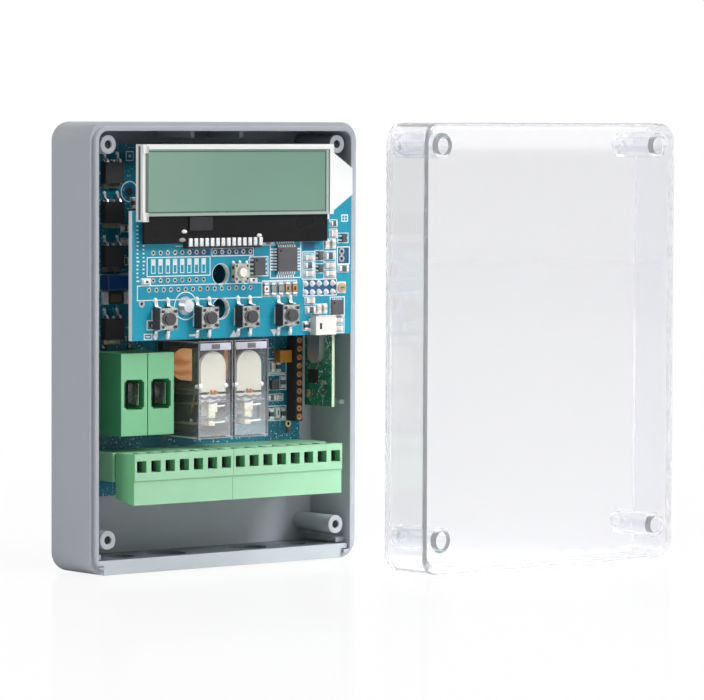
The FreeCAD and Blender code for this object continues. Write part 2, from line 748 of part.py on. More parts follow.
def cable_entry_plate():
    """The plate that closes the bottom: it slides in under the rails from the front."""
    fit = s.plate_fit
    slot = s.bottom_opening / 2 - fit
    flange = s.box_width / 2 - s.wall - fit
    top = FLOOR + s.plate_height
    step = FLOOR + s.foot_height + fit
    length = s.box_depth - s.back_wall - fit
    plate = Carved("cable_entry_plate")
    sketch = plate.sketch(SHOULDER)
    outline(sketch, [(-slot, FLOOR), (slot, FLOOR), (slot, step), (flange, step), (flange, top),
                     (-flange, top), (-flange, step), (-slot, step)])
    plate.pad(sketch, length, to_back=True)
    rim = s.plate_rim
    hollows = [block("plate_hollow_%d" % number,
                     (start, SHOULDER + rim, FLOOR - rim),
                     (slot - 1.5 * rim, length - 2 * rim, s.plate_height - s.plate_web + rim))
               for number, start in enumerate((-slot + rim, rim / 2))]
    middle_y = SHOULDER + length / 2
    recesses = []
    for diameter, spot in ((s.knockout_small, s.knockout_small_x), (s.knockout_large, s.knockout_large_x)):
        for side in (-1, 1):
            recesses.append(rod("knockout_%d" % len(recesses),
                                (side * spot, middle_y, top - s.knockout_depth), diameter,
                                s.knockout_depth, FreeCAD.Rotation()))
    subpart("cable_entry_plate", without("entry_plate", plate.body, hollows + recesses))


def cover():
    """The clear cover: a shell with a rebate for the tongue and a screw tube in each corner."""
    half = s.box_width / 2
    high = s.box_height / 2
    front = SHOULDER - s.cover_depth
    shell = Carved("cover")
    sketch = shell.sketch(SHOULDER)
    soft_frame(sketch, (-half, FLOOR), (half, high), s.corner_radius)
    shell.pad(sketch, s.cover_depth)
    shell.fillet(s.cover_edge_radius, lambda edge: lies_at_y(edge, front))

    inner, roof = half - s.cover_wall, high - s.cover_wall
    sketch = shell.sketch(SHOULDER)
    soft_frame(sketch, (-inner, -roof), (inner, roof), s.corner_radius - s.cover_wall)
    shell.pocket(sketch, s.cover_depth - s.cover_front_wall, to_front=True)

    skirt = s.wall - s.lip_width - s.cover_fit
    sketch = shell.sketch(SHOULDER)
    soft_frame(sketch, (-half + skirt, FLOOR + skirt), (half - skirt, high - skirt),
               s.corner_radius - skirt)
    shell.pocket(sketch, s.lip_height + s.cover_fit, to_front=True)

    tube_back = SHOULDER + s.post_recess - s.cover_fit
    sketch = shell.sketch(front + s.cover_front_wall)
    for middle in post_middles():
        circle(sketch, middle, s.tube_diameter)
    shell.pad(sketch, s.cover_depth - s.cover_front_wall + s.post_recess - s.cover_fit, to_back=True)
    sketch = shell.sketch(front)
    for middle in post_middles():
        circle(sketch, middle, s.tube_counterbore)
    shell.pocket(sketch, tube_back - front - s.tube_floor)
    sketch = shell.sketch(front)
    for middle in post_middles():
        circle(sketch, middle, s.tube_hole)
    shell.pocket(sketch, s.cover_depth + s.post_recess)
    place(shell.body, (s.cover_aside_x, -s.cover_aside_y, 0.0))
    subpart("cover", shell.body)


def main_board():
    """The dark board on the bosses, with its holes."""
    board = block("main_board_sheet", (-BOARD_WIDTH / 2, BOARD_FRONT, BOARD_LOW),
                  (BOARD_WIDTH, s.board_thickness, s.board_height))
    holes = [rod("main_board_bolt_%d" % number, (x, BOARD_BACK, z), s.standoff_thread + 0.8,
                 s.board_thickness)
             for number, (x, z) in enumerate(standoff_middles())]
    holes += [rod("main_board_hole_%d" % number, (x, BOARD_BACK, z), s.plain_hole, s.board_thickness)
              for number, (x, z) in enumerate(plain_hole_middles())]
    holes.append(rod("main_board_spare", (-s.spare_hole_x, BOARD_BACK, up(s.spare_hole_level)),
                     s.spare_hole, s.board_thickness))
    subpart("main_board", without("main_board", board, holes))


def link_pins():
    """The square pins that join the two boards, and each one's middle."""
    pins = []
    for column in range(int(s.link_columns.value)):
        for row in (-1, 1):
            x = s.link_x + s.link_pitch * (column - (s.link_columns.value - 1) / 2)
            z = up(s.link_level) + row * s.link_pitch / 2
            pins.append(centred("link_pin_%d" % len(pins), (x, z), SCREEN_FRONT - s.link_pin_proud,
                                (s.link_pin, s.link_pin_proud + s.display_thickness + s.link_pin_reach,
                                 s.link_pin)))
    return pins


def display_board(pins):
    """The blue-green board: notched at its upper left, with two round access holes."""
    board = Carved("display_board")
    sketch = board.sketch(SCREEN_BACK)
    outline(sketch, [(-s.display_left, up(s.display_bottom)),
                     (s.display_right, up(s.display_bottom)),
                     (s.display_right, up(s.display_top)),
                     (-s.display_notch_x, up(s.display_top)),
                     (-s.display_notch_x, up(s.display_notch_level)),
                     (-s.display_left, up(s.display_notch_level))])
    board.pad(sketch, s.display_thickness)
    sketch = board.sketch(SCREEN_FRONT)
    for height in (s.access_hole_high, s.access_hole_low):
        circle(sketch, (-s.access_hole_x, up(height)), s.access_hole)
    for middle in standoff_middles():
        circle(sketch, middle, s.screw_shank + 0.4)
    board.pocket(sketch, s.display_thickness)
    subpart("display_board", without("display_sheet", board.body, [grouped("pin_cut_display", pins)]))


def display_supports():
    """The standoffs that clamp the main board: one takes a dome screw, two locate the display board."""
    posts = []
    for number, (x, z) in enumerate(standoff_middles()):
        name = "standoff_%d_" % number
        post = hexagon(name + "hex", (x, BOARD_FRONT, z), s.standoff_across, s.display_gap)
        end = rod(name + "end", (x, BOARD_FRONT + s.standoff_grip, z), s.standoff_thread, s.standoff_grip)
        if number:
            tip = rod(name + "tip", (x, SCREEN_BACK, z), s.screw_shank, s.display_thickness)
            posts.append(joined(name + "whole", [post, end, tip]))
        else:
            bore = rod(name + "bore", (x, SCREEN_BACK + s.screw_length, z), s.standoff_bore, s.screw_length)
            posts.append(without(name + "whole", joined(name + "body", [post, end]), [bore]))
    subpart("display_standoffs", grouped("display_standoffs", posts))
    x, z = standoff_middles()[0]
    shank = rod("dome_shank", (x, SCREEN_FRONT + s.screw_length, z), s.screw_shank, s.screw_length)
    head = doc.addObject("Part::Cone", "dome_head")
    head.Placement = FreeCAD.Placement(Vector(), TURN_TO_FRONT)
    bind(head, "Radius1", s.screw_head / 2)
    bind(head, "Radius2", s.screw_head / 3)
    bind(head, "Height", s.screw_head_height)
    place(head, (x, SCREEN_FRONT, z))
    subpart("display_screws", joined("display_screws", [head, shank]))


def board_link(pins):
    """The socket, the header and the pins between the boards."""
    span = s.link_pitch * s.link_columns + 0.4
    middle = (s.link_x, up(s.link_level))
    socket = centred("link_socket_body", middle, BOARD_FRONT - s.link_socket_height,
                     (span, s.link_socket_height, s.link_row_width))
    header = centred("link_header_body", middle, SCREEN_BACK,
                     (span, s.link_header_height, s.link_row_width))
    socket = without("link_socket_open", socket, [grouped("pin_cut_socket", pins)])
    header = without("link_header_open", header, [grouped("pin_cut_header", pins)])
    subpart("board_link_socket", grouped("board_link_socket", [socket, header]))
    subpart("board_link_pins", grouped("board_link_pins", pins))


def display():
    """The display: light guide with its tapered tail, two glasses, driver chip and clips."""
    top = up(s.lcd_top)
    glass_top = top - s.lcd_edge
    view_foot = up(s.lcd_view_bottom)
    ledge_foot = up(s.lcd_ledge_bottom)
    glass_width = s.lcd_glass_left + s.lcd_glass_right
    left_bar = s.lcd_left - s.lcd_glass_left - 0.1

    guide = Carved("lcd_light_guide")
    sketch = guide.sketch(SCREEN_FRONT)
    tail = s.lcd_glass_right + s.lcd_tail_reach
    start = s.lcd_glass_right + s.lcd_edge
    outline(sketch, [(-s.lcd_left, view_foot - s.lcd_edge), (start, view_foot - s.lcd_edge),
                     (start, view_foot), (tail, view_foot + s.lcd_tail_rise),
                     (tail, glass_top - s.lcd_tail_rise), (start, glass_top),
                     (start, top), (-s.lcd_left, top)])
    guide.pad(sketch, s.lcd_light_thickness)
    thickness = 2 * s.lcd_glass_thickness
    edges = [block("guide_bar", (-s.lcd_left, GLASS_FRONT, view_foot - s.lcd_edge),
                   (left_bar, thickness, top - view_foot + s.lcd_edge)),
             block("guide_top", (-s.lcd_left, GLASS_FRONT, glass_top + 0.1),
                   (s.lcd_left + start, thickness, s.lcd_edge - 0.1)),
             block("guide_right", (s.lcd_glass_right + 0.1, GLASS_FRONT, view_foot),
                   (s.lcd_edge - 0.1, thickness, top - view_foot))]
    for number, low in enumerate((view_foot - s.lcd_edge, top - s.lcd_tab_height)):
        edges.append(block("guide_tab_%d" % number, (-s.lcd_left, GLASS_FRONT - 0.4, low),
                           (left_bar + 0.1 + s.lcd_tab_lap, 0.4, s.lcd_tab_height)))
    subpart("lcd_light_guide", joined("lcd_light_guide_whole", [guide.body] + edges))
    subpart("lcd_rear_glass", block("lcd_rear_glass", (-s.lcd_glass_left, GLASS_MIDDLE, ledge_foot),
                                    (glass_width, s.lcd_glass_thickness, glass_top - ledge_foot)))
    subpart("lcd_front_glass", block("lcd_front_glass", (-s.lcd_glass_left, GLASS_FRONT, view_foot),
                                     (glass_width, s.lcd_glass_thickness, glass_top - view_foot)))
    subpart("lcd_driver_chip",
            centred("lcd_driver_chip", (-s.driver_x, up(s.driver_level)),
                    GLASS_MIDDLE - s.driver_thickness,
                    (s.driver_width, s.driver_thickness, s.driver_height)))
    clips = []
    metal = s.lcd_pin_metal
    for number in range(int(s.lcd_pin_count.value)):
        x = -s.lcd_pin_first + s.lcd_pin_pitch * number - s.lcd_pin_width / 2
        name = "clip_%d_" % number
        drop = GLASS_MIDDLE - metal
        parts = [block(name + "grip", (x, drop, ledge_foot - metal),
                       (s.lcd_pin_width, metal, s.lcd_pin_lap)),
                 block(name + "leg", (x, drop, ledge_foot - metal),
                       (s.lcd_pin_width, SCREEN_FRONT - drop, metal)),
                 block(name + "foot", (x, SCREEN_FRONT - metal, ledge_foot - s.lcd_pin_lap),
                       (s.lcd_pin_width, metal, s.lcd_pin_lap))]
        clips.append(joined("clip_%d" % number, parts))
    subpart("lcd_pins", grouped("lcd_pins", clips))


def switch_middles():
    """The four key switches, as X and Z."""
    return [(-s.switch_first_x + s.switch_pitch * number, up(s.switch_level)) for number in range(4)]


def push_switches():
    """The key switches and the reset switch, each plunger a piece of its own."""
    bodies, metal = [], []
    size, height = s.switch_size, s.switch_height
    face = SCREEN_FRONT - height
    well = s.plunger_seat + s.plunger_travel + s.plunger_fit
    for number, middle in enumerate(switch_middles()):
        name = "switch_%d_" % number
        bore = s.plunger_diameter + 2 * s.plunger_fit
        body = centred(name + "block", middle, face, (size, height, size))
        hole = rod(name + "well", (middle[0], face + well, middle[1]), bore, well)
        bodies.append(without(name + "body", body, [hole]))
        plate = centred(name + "face", middle, face - s.switch_plate, (size, s.switch_plate, size))
        mouth = rod(name + "mouth", (middle[0], face, middle[1]), bore, s.switch_plate)
        rivets = [rod(name + "rivet_%d" % corner,
                      (middle[0] + dx * size * 0.38, face - s.switch_plate, middle[1] + dz * size * 0.38),
                      size * 0.14, s.switch_plate)
                  for corner, (dx, dz) in enumerate(((-1, -1), (1, -1), (1, 1), (-1, 1)))]
        metal.append(joined(name + "plate", [without(name + "sheet", plate, [mouth])] + rivets))
        for leg, (dx, dz) in enumerate(((-1, -1), (1, -1), (1, 1), (-1, 1))):
            x = middle[0] + dx * size * 0.36 - s.leg_width / 2
            low = middle[1] + size / 2 if dz > 0 else middle[1] - size / 2 - s.leg_reach
            shin = middle[1] + size / 2 if dz > 0 else middle[1] - size / 2 - s.leg_metal
            flat = block(name + "foot_%d" % leg, (x, SCREEN_FRONT - s.leg_metal, low),
                         (s.leg_width, s.leg_metal, s.leg_reach))
            rise = block(name + "shin_%d" % leg, (x, SCREEN_FRONT - height / 2, shin),
                         (s.leg_width, height / 2, s.leg_metal))
            metal.append(joined(name + "leg_%d" % leg, [flat, rise]))
        length = s.plunger_seat + s.switch_plate + s.plunger_proud
        subpart("key_plunger_%d" % (number + 1),
                rod("key_plunger_%d" % (number + 1),
                    (middle[0], face + s.plunger_seat, middle[1]), s.plunger_diameter, length))
    subpart("switch_bodies", grouped("switch_bodies", bodies))
    subpart("switch_metal", grouped("switch_metal", metal))

    middle = (s.reset_x, up(s.reset_level))
    whole = s.reset_height
    body = centred("reset_block", middle, SCREEN_FRONT - whole, (s.reset_width, whole, s.reset_depth))
    hole = rod("reset_well", (middle[0], SCREEN_FRONT - whole + well, middle[1]),
               s.reset_plunger + 2 * s.plunger_fit, well)
    subpart("reset_switch", without("reset_switch", body, [hole]))
    subpart("reset_plunger", rod("reset_plunger",
                                 (middle[0], SCREEN_FRONT - whole + s.plunger_seat, middle[1]),
                                 s.reset_plunger, s.plunger_seat + s.reset_proud))


def display_board_parts():
    """Chips, the micro socket and the small resistors on the display board."""
    thin = s.chip_thickness
    chips = [centred("processor", (s.processor_x, up(s.processor_level)), SCREEN_FRONT - thin,
                     (s.processor_size, thin, s.processor_size)),
             centred("memory", (s.memory_x, up(s.memory_level)), SCREEN_FRONT - thin,
                     (s.memory_width, thin, s.memory_height)),
             centred("regulator", (s.regulator_x, up(s.regulator_level)), SCREEN_FRONT - thin / 2,
                     (s.regulator_size, thin / 2, s.regulator_size))]
    subpart("display_chips", grouped("display_chips", chips))
    wall = s.usb_wall
    low = up(s.display_bottom)
    shell = block("usb_shell", (s.usb_x - s.usb_width / 2, SCREEN_FRONT - s.usb_height, low),
                  (s.usb_width, s.usb_height, s.usb_length))
    inside = block("usb_inside", (s.usb_x - s.usb_width / 2 + wall, SCREEN_FRONT - s.usb_height + wall, low),
                   (s.usb_width - 2 * wall, s.usb_height - 2 * wall, s.usb_length - wall))
    tongue = block("usb_tongue",
                   (s.usb_x - s.usb_width / 4, SCREEN_FRONT - s.usb_height / 2, low + 2 * wall),
                   (s.usb_width / 2, wall, s.usb_length - 2 * wall))
    subpart("usb_socket", joined("usb_socket", [without("usb_open", shell, [inside]), tongue]))
    row = [centred("resistor_%d" % number,
                   (s.resistor_first_x + s.resistor_pitch * number, up(s.resistor_level)),
                   SCREEN_FRONT - s.resistor_height,
                   (s.resistor_width, s.resistor_height, s.resistor_length))
           for number in range(5)]
    subpart("display_resistors", grouped("display_resistors", row))


def main_board_parts():
    """Transistors, capacitors, the large resistor and chips on the main board."""
    bodies, metal = [], []
    width, thick = s.transistor_width, s.transistor_thickness
    spots = (s.transistor_1, s.transistor_2, s.transistor_3, s.transistor_4)
    for number, height in enumerate(spots):
        x, z = -s.transistor_x, up(height)
        name = "transistor_%d_" % number
        bodies.append(centred(name + "body", (x, z), BOARD_FRONT - thick,
                              (width, thick, s.transistor_height)))
        tab_low = z - s.transistor_height / 2 - s.transistor_tab
        metal.append(block(name + "tab", (x - width * 0.4, BOARD_FRONT - s.leg_metal, tab_low),
                           (width * 0.8, s.leg_metal, s.transistor_tab)))
        for leg, (shift, share) in enumerate(((-0.35, 1.0), (0.0, 0.35), (0.35, 1.0))):
            edge = x + shift * width - s.leg_width / 2
            top = z + s.transistor_height / 2
            foot = block(name + "foot_%d" % leg, (edge, BOARD_FRONT - s.leg_metal, top),
                         (s.leg_width, s.leg_metal, share * s.transistor_leg))
            rise = block(name + "rise_%d" % leg, (edge, BOARD_FRONT - thick / 2, top),
                         (s.leg_width, thick / 2, s.leg_metal))
            metal.append(joined(name + "leg_%d" % leg, [foot, rise]))
    subpart("power_transistors", grouped("power_transistors", bodies))
    subpart("transistor_metal", grouped("transistor_metal", metal))
    blue = centred("blue_block", (-s.blue_x, up(s.blue_level)), BOARD_FRONT - s.blue_thickness,
                   (s.blue_width, s.blue_thickness, s.blue_height))
    front = float(BOARD_FRONT - s.blue_thickness)
    subpart("blue_capacitor", rounded("blue_capacitor", blue, 0.6 * s.leg_width,
                                      lambda edge: edge.BoundBox.YMax < front + 1e-4))
    subpart("shunt_resistor", centred("shunt_resistor", (-s.blue_x, up(s.shunt_level)),
                                      BOARD_FRONT - s.shunt_thickness,
                                      (s.shunt_width, s.shunt_thickness, s.shunt_height)))
    subpart("tantalum_capacitor", centred("tantalum_capacitor", (s.tantalum_x, up(s.tantalum_level)),
                                          BOARD_FRONT - s.tantalum_thickness,
                                          (s.tantalum_width, s.tantalum_thickness, s.tantalum_height)))
    can = rod("can", (s.can_x, BOARD_FRONT, up(s.can_level)), s.can_diameter, s.can_height)
    subpart("smoothing_capacitor", rounded("smoothing_capacitor", can, 0.08 * s.can_diameter,
                                           lambda edge: edge.Curve.TypeId == "Part::GeomCircle"
                                           and edge.BoundBox.YMax < float(BOARD_FRONT) - 1.0))
    chips = [centred("controller", (-s.controller_x, up(s.controller_level)), BOARD_FRONT - s.chip_thickness,
                     (s.controller_width, s.chip_thickness, s.controller_height))]
    for number in range(2):
        x = s.driver_pair_x + number * s.driver_pair_pitch
        chips.append(centred("relay_driver_%d" % number, (x, up(s.driver_pair_level)),
                             BOARD_FRONT - s.small_chip_thickness,
                             (s.small_chip, s.small_chip_thickness, s.small_chip)))
    chips.append(centred("supply_chip", (s.driver_pair_x, up(s.supply_chip_level)),
                         BOARD_FRONT - s.small_chip_thickness,
                         (s.small_chip, s.small_chip_thickness, s.supply_chip_height)))
    subpart("main_board_chips", grouped("main_board_chips", chips))


def receiver():
    """The socket strip and the receiver board that stands beside it."""
    holes, contacts = [], []
    front = BOARD_FRONT - s.strip_height
    low = up(s.strip_first) - s.strip_pitch / 2
    body = block("strip_body", (s.strip_x - s.strip_width / 2, front, low),
                 (s.strip_width, s.strip_height, s.strip_pitch * s.strip_count))
    for number in range(int(s.strip_count.value)):
        z = up(s.strip_first) + s.strip_pitch * number
        name = "strip_%d_" % number
        length = s.strip_height * 0.8
        start = (s.strip_x, front + length, z)
        holes.append(rod(name + "hole", start, s.contact_diameter, length))
        sleeve = rod(name + "sleeve", start, s.contact_diameter, length + s.contact_proud)
        bore = rod(name + "bore", (s.strip_x, front + length * 0.8, z), s.contact_bore,
                   length * 0.8 + s.contact_proud)
        contacts.append(without(name + "contact", sleeve, [bore]))
    subpart("socket_strip", without("socket_strip", body, holes))
    subpart("socket_contacts", grouped("socket_contacts", contacts))

    back = BOARD_FRONT - s.module_gap
    low = up(s.module_bottom)
    subpart("receiver_board", block("receiver_board", (s.module_x, back - s.module_depth, low),
                                    (s.module_thickness, s.module_depth, s.module_height)))
    middle_y = back - s.module_depth / 2
    half = (s.crystal_height - s.crystal_width) / 2
    can_x = s.module_x - s.crystal_thickness
    can_z = up(s.crystal_level)
    pieces = [block("crystal_middle", (can_x, middle_y - s.crystal_width / 2, can_z - half),
                    (s.crystal_thickness, s.crystal_width, 2 * half))]
    for side in (-1, 1):
        pieces.append(rod("crystal_end_%d" % (side + 1), (can_x, middle_y, can_z + side * half),
                          s.crystal_width, s.crystal_thickness, TURN_TO_SIDE))
    subpart("receiver_crystal", joined("receiver_crystal", pieces))
    parts = []
    for number in range(3, 1 + 3):
        parts.append(block("receiver_chip_%d" % number,
                           (s.module_x - s.chip_thickness / 2, middle_y, low + 2.2 * number),
                           (s.chip_thickness / 2, s.memory_width, s.memory_width)))
    pin = s.link_pin
    top = int(s.strip_count.value) - 1
    for number in range(top - 3, top + 1):
        z = up(s.strip_first) + s.strip_pitch * number - pin / 2
        name = "receiver_pin_%d" % number
        across = block(name + "_arm", (s.strip_x - pin / 2, front - s.pin_bend - pin, z),
                       (s.module_x - s.strip_x + pin / 2, pin, pin))
        down = block(name + "_leg", (s.strip_x - pin / 2, front - s.pin_bend - pin, z),
                     (pin, s.pin_bend + s.pin_dip + pin, pin))
        parts.append(joined(name, [across, down]))
    subpart("receiver_parts", grouped("receiver_parts", parts))


def power_terminals():
    """Two green power terminals, their clamp plates and soldered tails."""
    metal = []
    front = BOARD_FRONT - s.power_depth
    for number, node in enumerate(("power_terminal_left", "power_terminal_right")):
        left = -s.power_left + number * (s.power_width + s.power_seam)
        middle_x = left + s.power_width / 2
        body = block(node + "_block", (left, front, up(s.power_bottom)),
                     (s.power_width, s.power_depth, s.power_height))
        wide, tall = s.power_mouth_width, s.power_mouth_height
        level_z = up(s.power_mouth_level)
        mouth = centred(node + "_mouth", (middle_x, level_z), front,
                        (wide, s.power_mouth_depth, tall - 1.2))
        slim = centred(node + "_slim", (middle_x, level_z), front,
                       (wide - 1.2, s.power_mouth_depth, tall))
        well = rod(node + "_well", (middle_x, front + s.power_mouth_depth / 2, level_z + tall / 2),
                   s.power_width * 0.5, s.power_height, FreeCAD.Rotation())
        subpart(node, without(node, body, [joined(node + "_opening", [mouth, slim, well])]))
        metal.append(centred("power_plate_%d" % number, (middle_x, level_z),
                             front + s.power_mouth_depth - s.power_plate,
                             (wide - 1.6, s.power_plate, tall - 1.6)))
        screw = rod("power_screw_%d" % number,
                    (middle_x, front + s.power_mouth_depth / 2, level_z + tall / 2 + 1.0),
                    s.power_width * 0.48, s.power_height / 4, FreeCAD.Rotation())
        slot = block("power_slot_%d" % number,
                     (middle_x - s.power_width / 2, front + s.power_mouth_depth / 2 - 0.4,
                      level_z + tall / 2 + s.power_height / 4),
                     (s.power_width, 0.8, s.wall))
        metal.append(without("power_slotted_%d" % number, screw, [slot]))
        dome = doc.addObject("Part::Sphere", "power_dome_%d" % number)
        bind(dome, "Radius", s.joint_dome / 2)
        place(dome, (middle_x, BOARD_FRONT, up(s.joint_level)))
        cut = centred("power_dome_cut_%d" % number, (middle_x, up(s.joint_level)), BOARD_FRONT,
                      (2 * s.joint_dome, s.joint_dome, 2 * s.joint_dome))
        metal.append(without("power_tail_%d" % number, dome, [cut]))
    subpart("power_terminal_metal", grouped("power_terminal_metal", metal))


def relay(side, middle_x):
    """One relay with a clear case: coil, yoke, rocking armature and contacts."""
    low = up(s.relay_bottom)
    front = BOARD_FRONT - s.relay_depth
    wall, fit = s.relay_wall, s.relay_fit
    outer = centred(side + "_case_outer", (middle_x, low + s.relay_height / 2), front,
                    (s.relay_width, s.relay_depth, s.relay_height))
    hollow = centred(side + "_case_inner", (middle_x, low + s.relay_height / 2), front + wall,
                     (s.relay_width - 2 * wall, s.relay_depth, s.relay_height - 2 * wall))
    edge_x = float(s.relay_width / 2)
    front_y = float(front)
    outer = rounded(side + "_case_round", outer, 0.7 * wall,
                    lambda edge: edge.BoundBox.YMax < front_y + 1e-4
                    or (runs_along(edge, ALONG_Y) and edge_x > 0))
    subpart("relay_case_" + side, without(side + "_case", outer, [hollow]))
    inner_w = s.relay_width - 2 * wall - 2 * fit
    inner_h = s.relay_height - 2 * wall - 2 * fit
    base = centred(side + "_base", (middle_x, low + s.relay_height / 2), BOARD_FRONT - s.relay_base,
                   (inner_w, s.relay_base, inner_h))
    subpart("relay_base_" + side, base)

    axis_z = low + s.core_level
    base_front = BOARD_FRONT - s.relay_base
    metal = s.yoke_metal
    coil_back = base_front - metal - s.bobbin_flange - fit
    coil_front = coil_back - s.coil_length
    core_front = coil_front - s.bobbin_flange - fit
    leg_z = low + s.yoke_level
    back_leg = block(side + "_yoke_back", (middle_x - s.yoke_width / 2, base_front - metal, leg_z),
                     (s.yoke_width, metal, s.core_level - s.yoke_level + s.core_diameter))
    long_leg = block(side + "_yoke_leg", (middle_x - s.yoke_width / 2, core_front, leg_z),
                     (s.yoke_width, base_front - core_front, metal))
    core = rod(side + "_core", (middle_x, base_front - metal, axis_z), s.core_diameter,
               base_front - metal - core_front)
    subpart("relay_yoke_" + side, joined(side + "_yoke", [back_leg, long_leg, core]))

    flange = s.bobbin_flange
    tall = s.bobbin_height
    pieces = [centred(side + "_flange_back", (middle_x, axis_z), coil_back,
                      (s.yoke_width + 1.6, flange, tall)),
              centred(side + "_flange_front", (middle_x, axis_z), coil_front - flange,
                      (s.yoke_width + 1.6, flange, tall)),
              rod(side + "_tube", (middle_x, coil_back, axis_z), s.bobbin_tube, s.coil_length)]
    bore = rod(side + "_bobbin_bore", (middle_x, coil_back + 2 * flange, axis_z),
               s.core_diameter + 2 * fit, s.coil_length + 4 * flange)
    subpart("relay_bobbin_" + side, without(side + "_bobbin", joined(side + "_spool", pieces), [bore]))
    winding = rod(side + "_winding", (middle_x, coil_back, axis_z), s.coil_diameter, s.coil_length)
    hole = rod(side + "_winding_bore", (middle_x, coil_back, axis_z), s.bobbin_tube, s.coil_length)
    subpart("relay_coil_" + side, without(side + "_coil", winding, [hole]))

    plate_back = core_front - s.pole_gap
    plate_front = plate_back - s.armature_metal
    foot, crown = low + s.armature_foot, low + s.armature_top
    radius = s.armature_width / 2
    plate = block(side + "_arm_plate", (middle_x - radius, plate_front, foot),
                  (s.armature_width, s.armature_metal, crown - radius - foot))
    arch = rod(side + "_arm_arch", (middle_x, plate_back, crown - radius), s.armature_width,
               s.armature_metal)
    ears = rod(side + "_arm_ears", (middle_x - s.yoke_width / 2 - 1.0, plate_back - s.armature_metal / 2,
                                    low + s.pivot_level),
               s.armature_metal, s.yoke_width + 2.0, TURN_TO_SIDE)
    contact_y = BOARD_FRONT - s.contact_y
    arm_z = low + s.arm_level
    shank = block(side + "_arm_shank", (middle_x - s.arm_width / 2, plate_front, arm_z),
                  (s.arm_width, s.armature_metal, foot - arm_z))
    blade = block(side + "_arm_blade", (middle_x - s.arm_width / 2, plate_front, arm_z),
                  (s.arm_width, contact_y - plate_front + s.contact_button / 2, s.arm_metal))
    button = rod(side + "_arm_button", (middle_x, contact_y, arm_z - s.moving_contact_drop),
                 s.contact_button,
                 s.moving_contact_drop + s.arm_metal + s.moving_contact_rise, FreeCAD.Rotation())
    leaf = block(side + "_arm_leaf", (middle_x - radius, plate_front, foot - s.leaf_gap - s.leaf_height),
                 (s.armature_width, s.arm_metal, s.leaf_height))
    subpart("relay_armature_" + side,
            joined(side + "_armature", [plate, arch, ears, shank, blade, button, leaf]))

    fixed = []
    lower = arm_z - s.moving_contact_drop - s.contact_gap
    upper = arm_z + s.arm_metal + s.moving_contact_rise + s.rest_gap
    strip = s.arm_metal
    for number, (button_z, strip_z) in enumerate(((lower - s.contact_button_height,
                                                   lower - s.contact_button_height - strip),
                                                  (upper, upper + s.contact_button_height))):
        name = "%s_fixed_%d_" % (side, number)
        rivet = rod(name + "rivet", (middle_x, contact_y, button_z), s.contact_button,
                    s.contact_button_height, FreeCAD.Rotation())
        tongue = block(name + "strip", (middle_x - s.contact_button / 2, contact_y - s.contact_button / 2,
                                        strip_z),
                       (s.contact_button, base_front - contact_y + s.contact_button / 2, strip))
        fixed.append(joined(name + "contact", [rivet, tongue]))
    subpart("relay_contacts_" + side, grouped(side + "_contacts", fixed))


def way_middles():
    """The middle X of every way, left plug first."""
    return [ROW_LEFT + s.terminal_pitch * (number + 0.5) for number in range(int(WAYS.value))]


def header_pins():
    """The square pins of the terminal header."""
    top = up(s.plug_top)
    middle_z = top - s.header_height / 2
    length = s.header_floor + s.pin_length
    return [centred("header_pin_%d" % number, (x, middle_z), BOARD_FRONT - length,
                    (s.pin_size, length, s.pin_size))
            for number, x in enumerate(way_middles())]


def terminal_header():
    """The green header on the board, open to the front, with its row of pins."""
    pins = header_pins()
    width = s.terminal_pitch * WAYS
    rim = s.header_wall
    fit = s.header_fit
    low = up(s.plug_top) - s.header_height
    body = block("header_body", (ROW_LEFT - fit - rim, BOARD_FRONT - s.header_depth, low),
                 (width + 2 * fit + 2 * rim, s.header_depth, s.header_height))
    cavity = block("header_cavity", (ROW_LEFT - fit, BOARD_FRONT - s.header_depth, low + rim),
                   (width + 2 * fit, s.header_depth - s.header_floor, s.header_height - 2 * rim))
    hollow = without("header_hollow", body, [cavity])
    subpart("terminal_header", without("terminal_header", hollow, [grouped("pin_cut_floor", pins)]))
    subpart("header_pins", grouped("header_pins", pins))


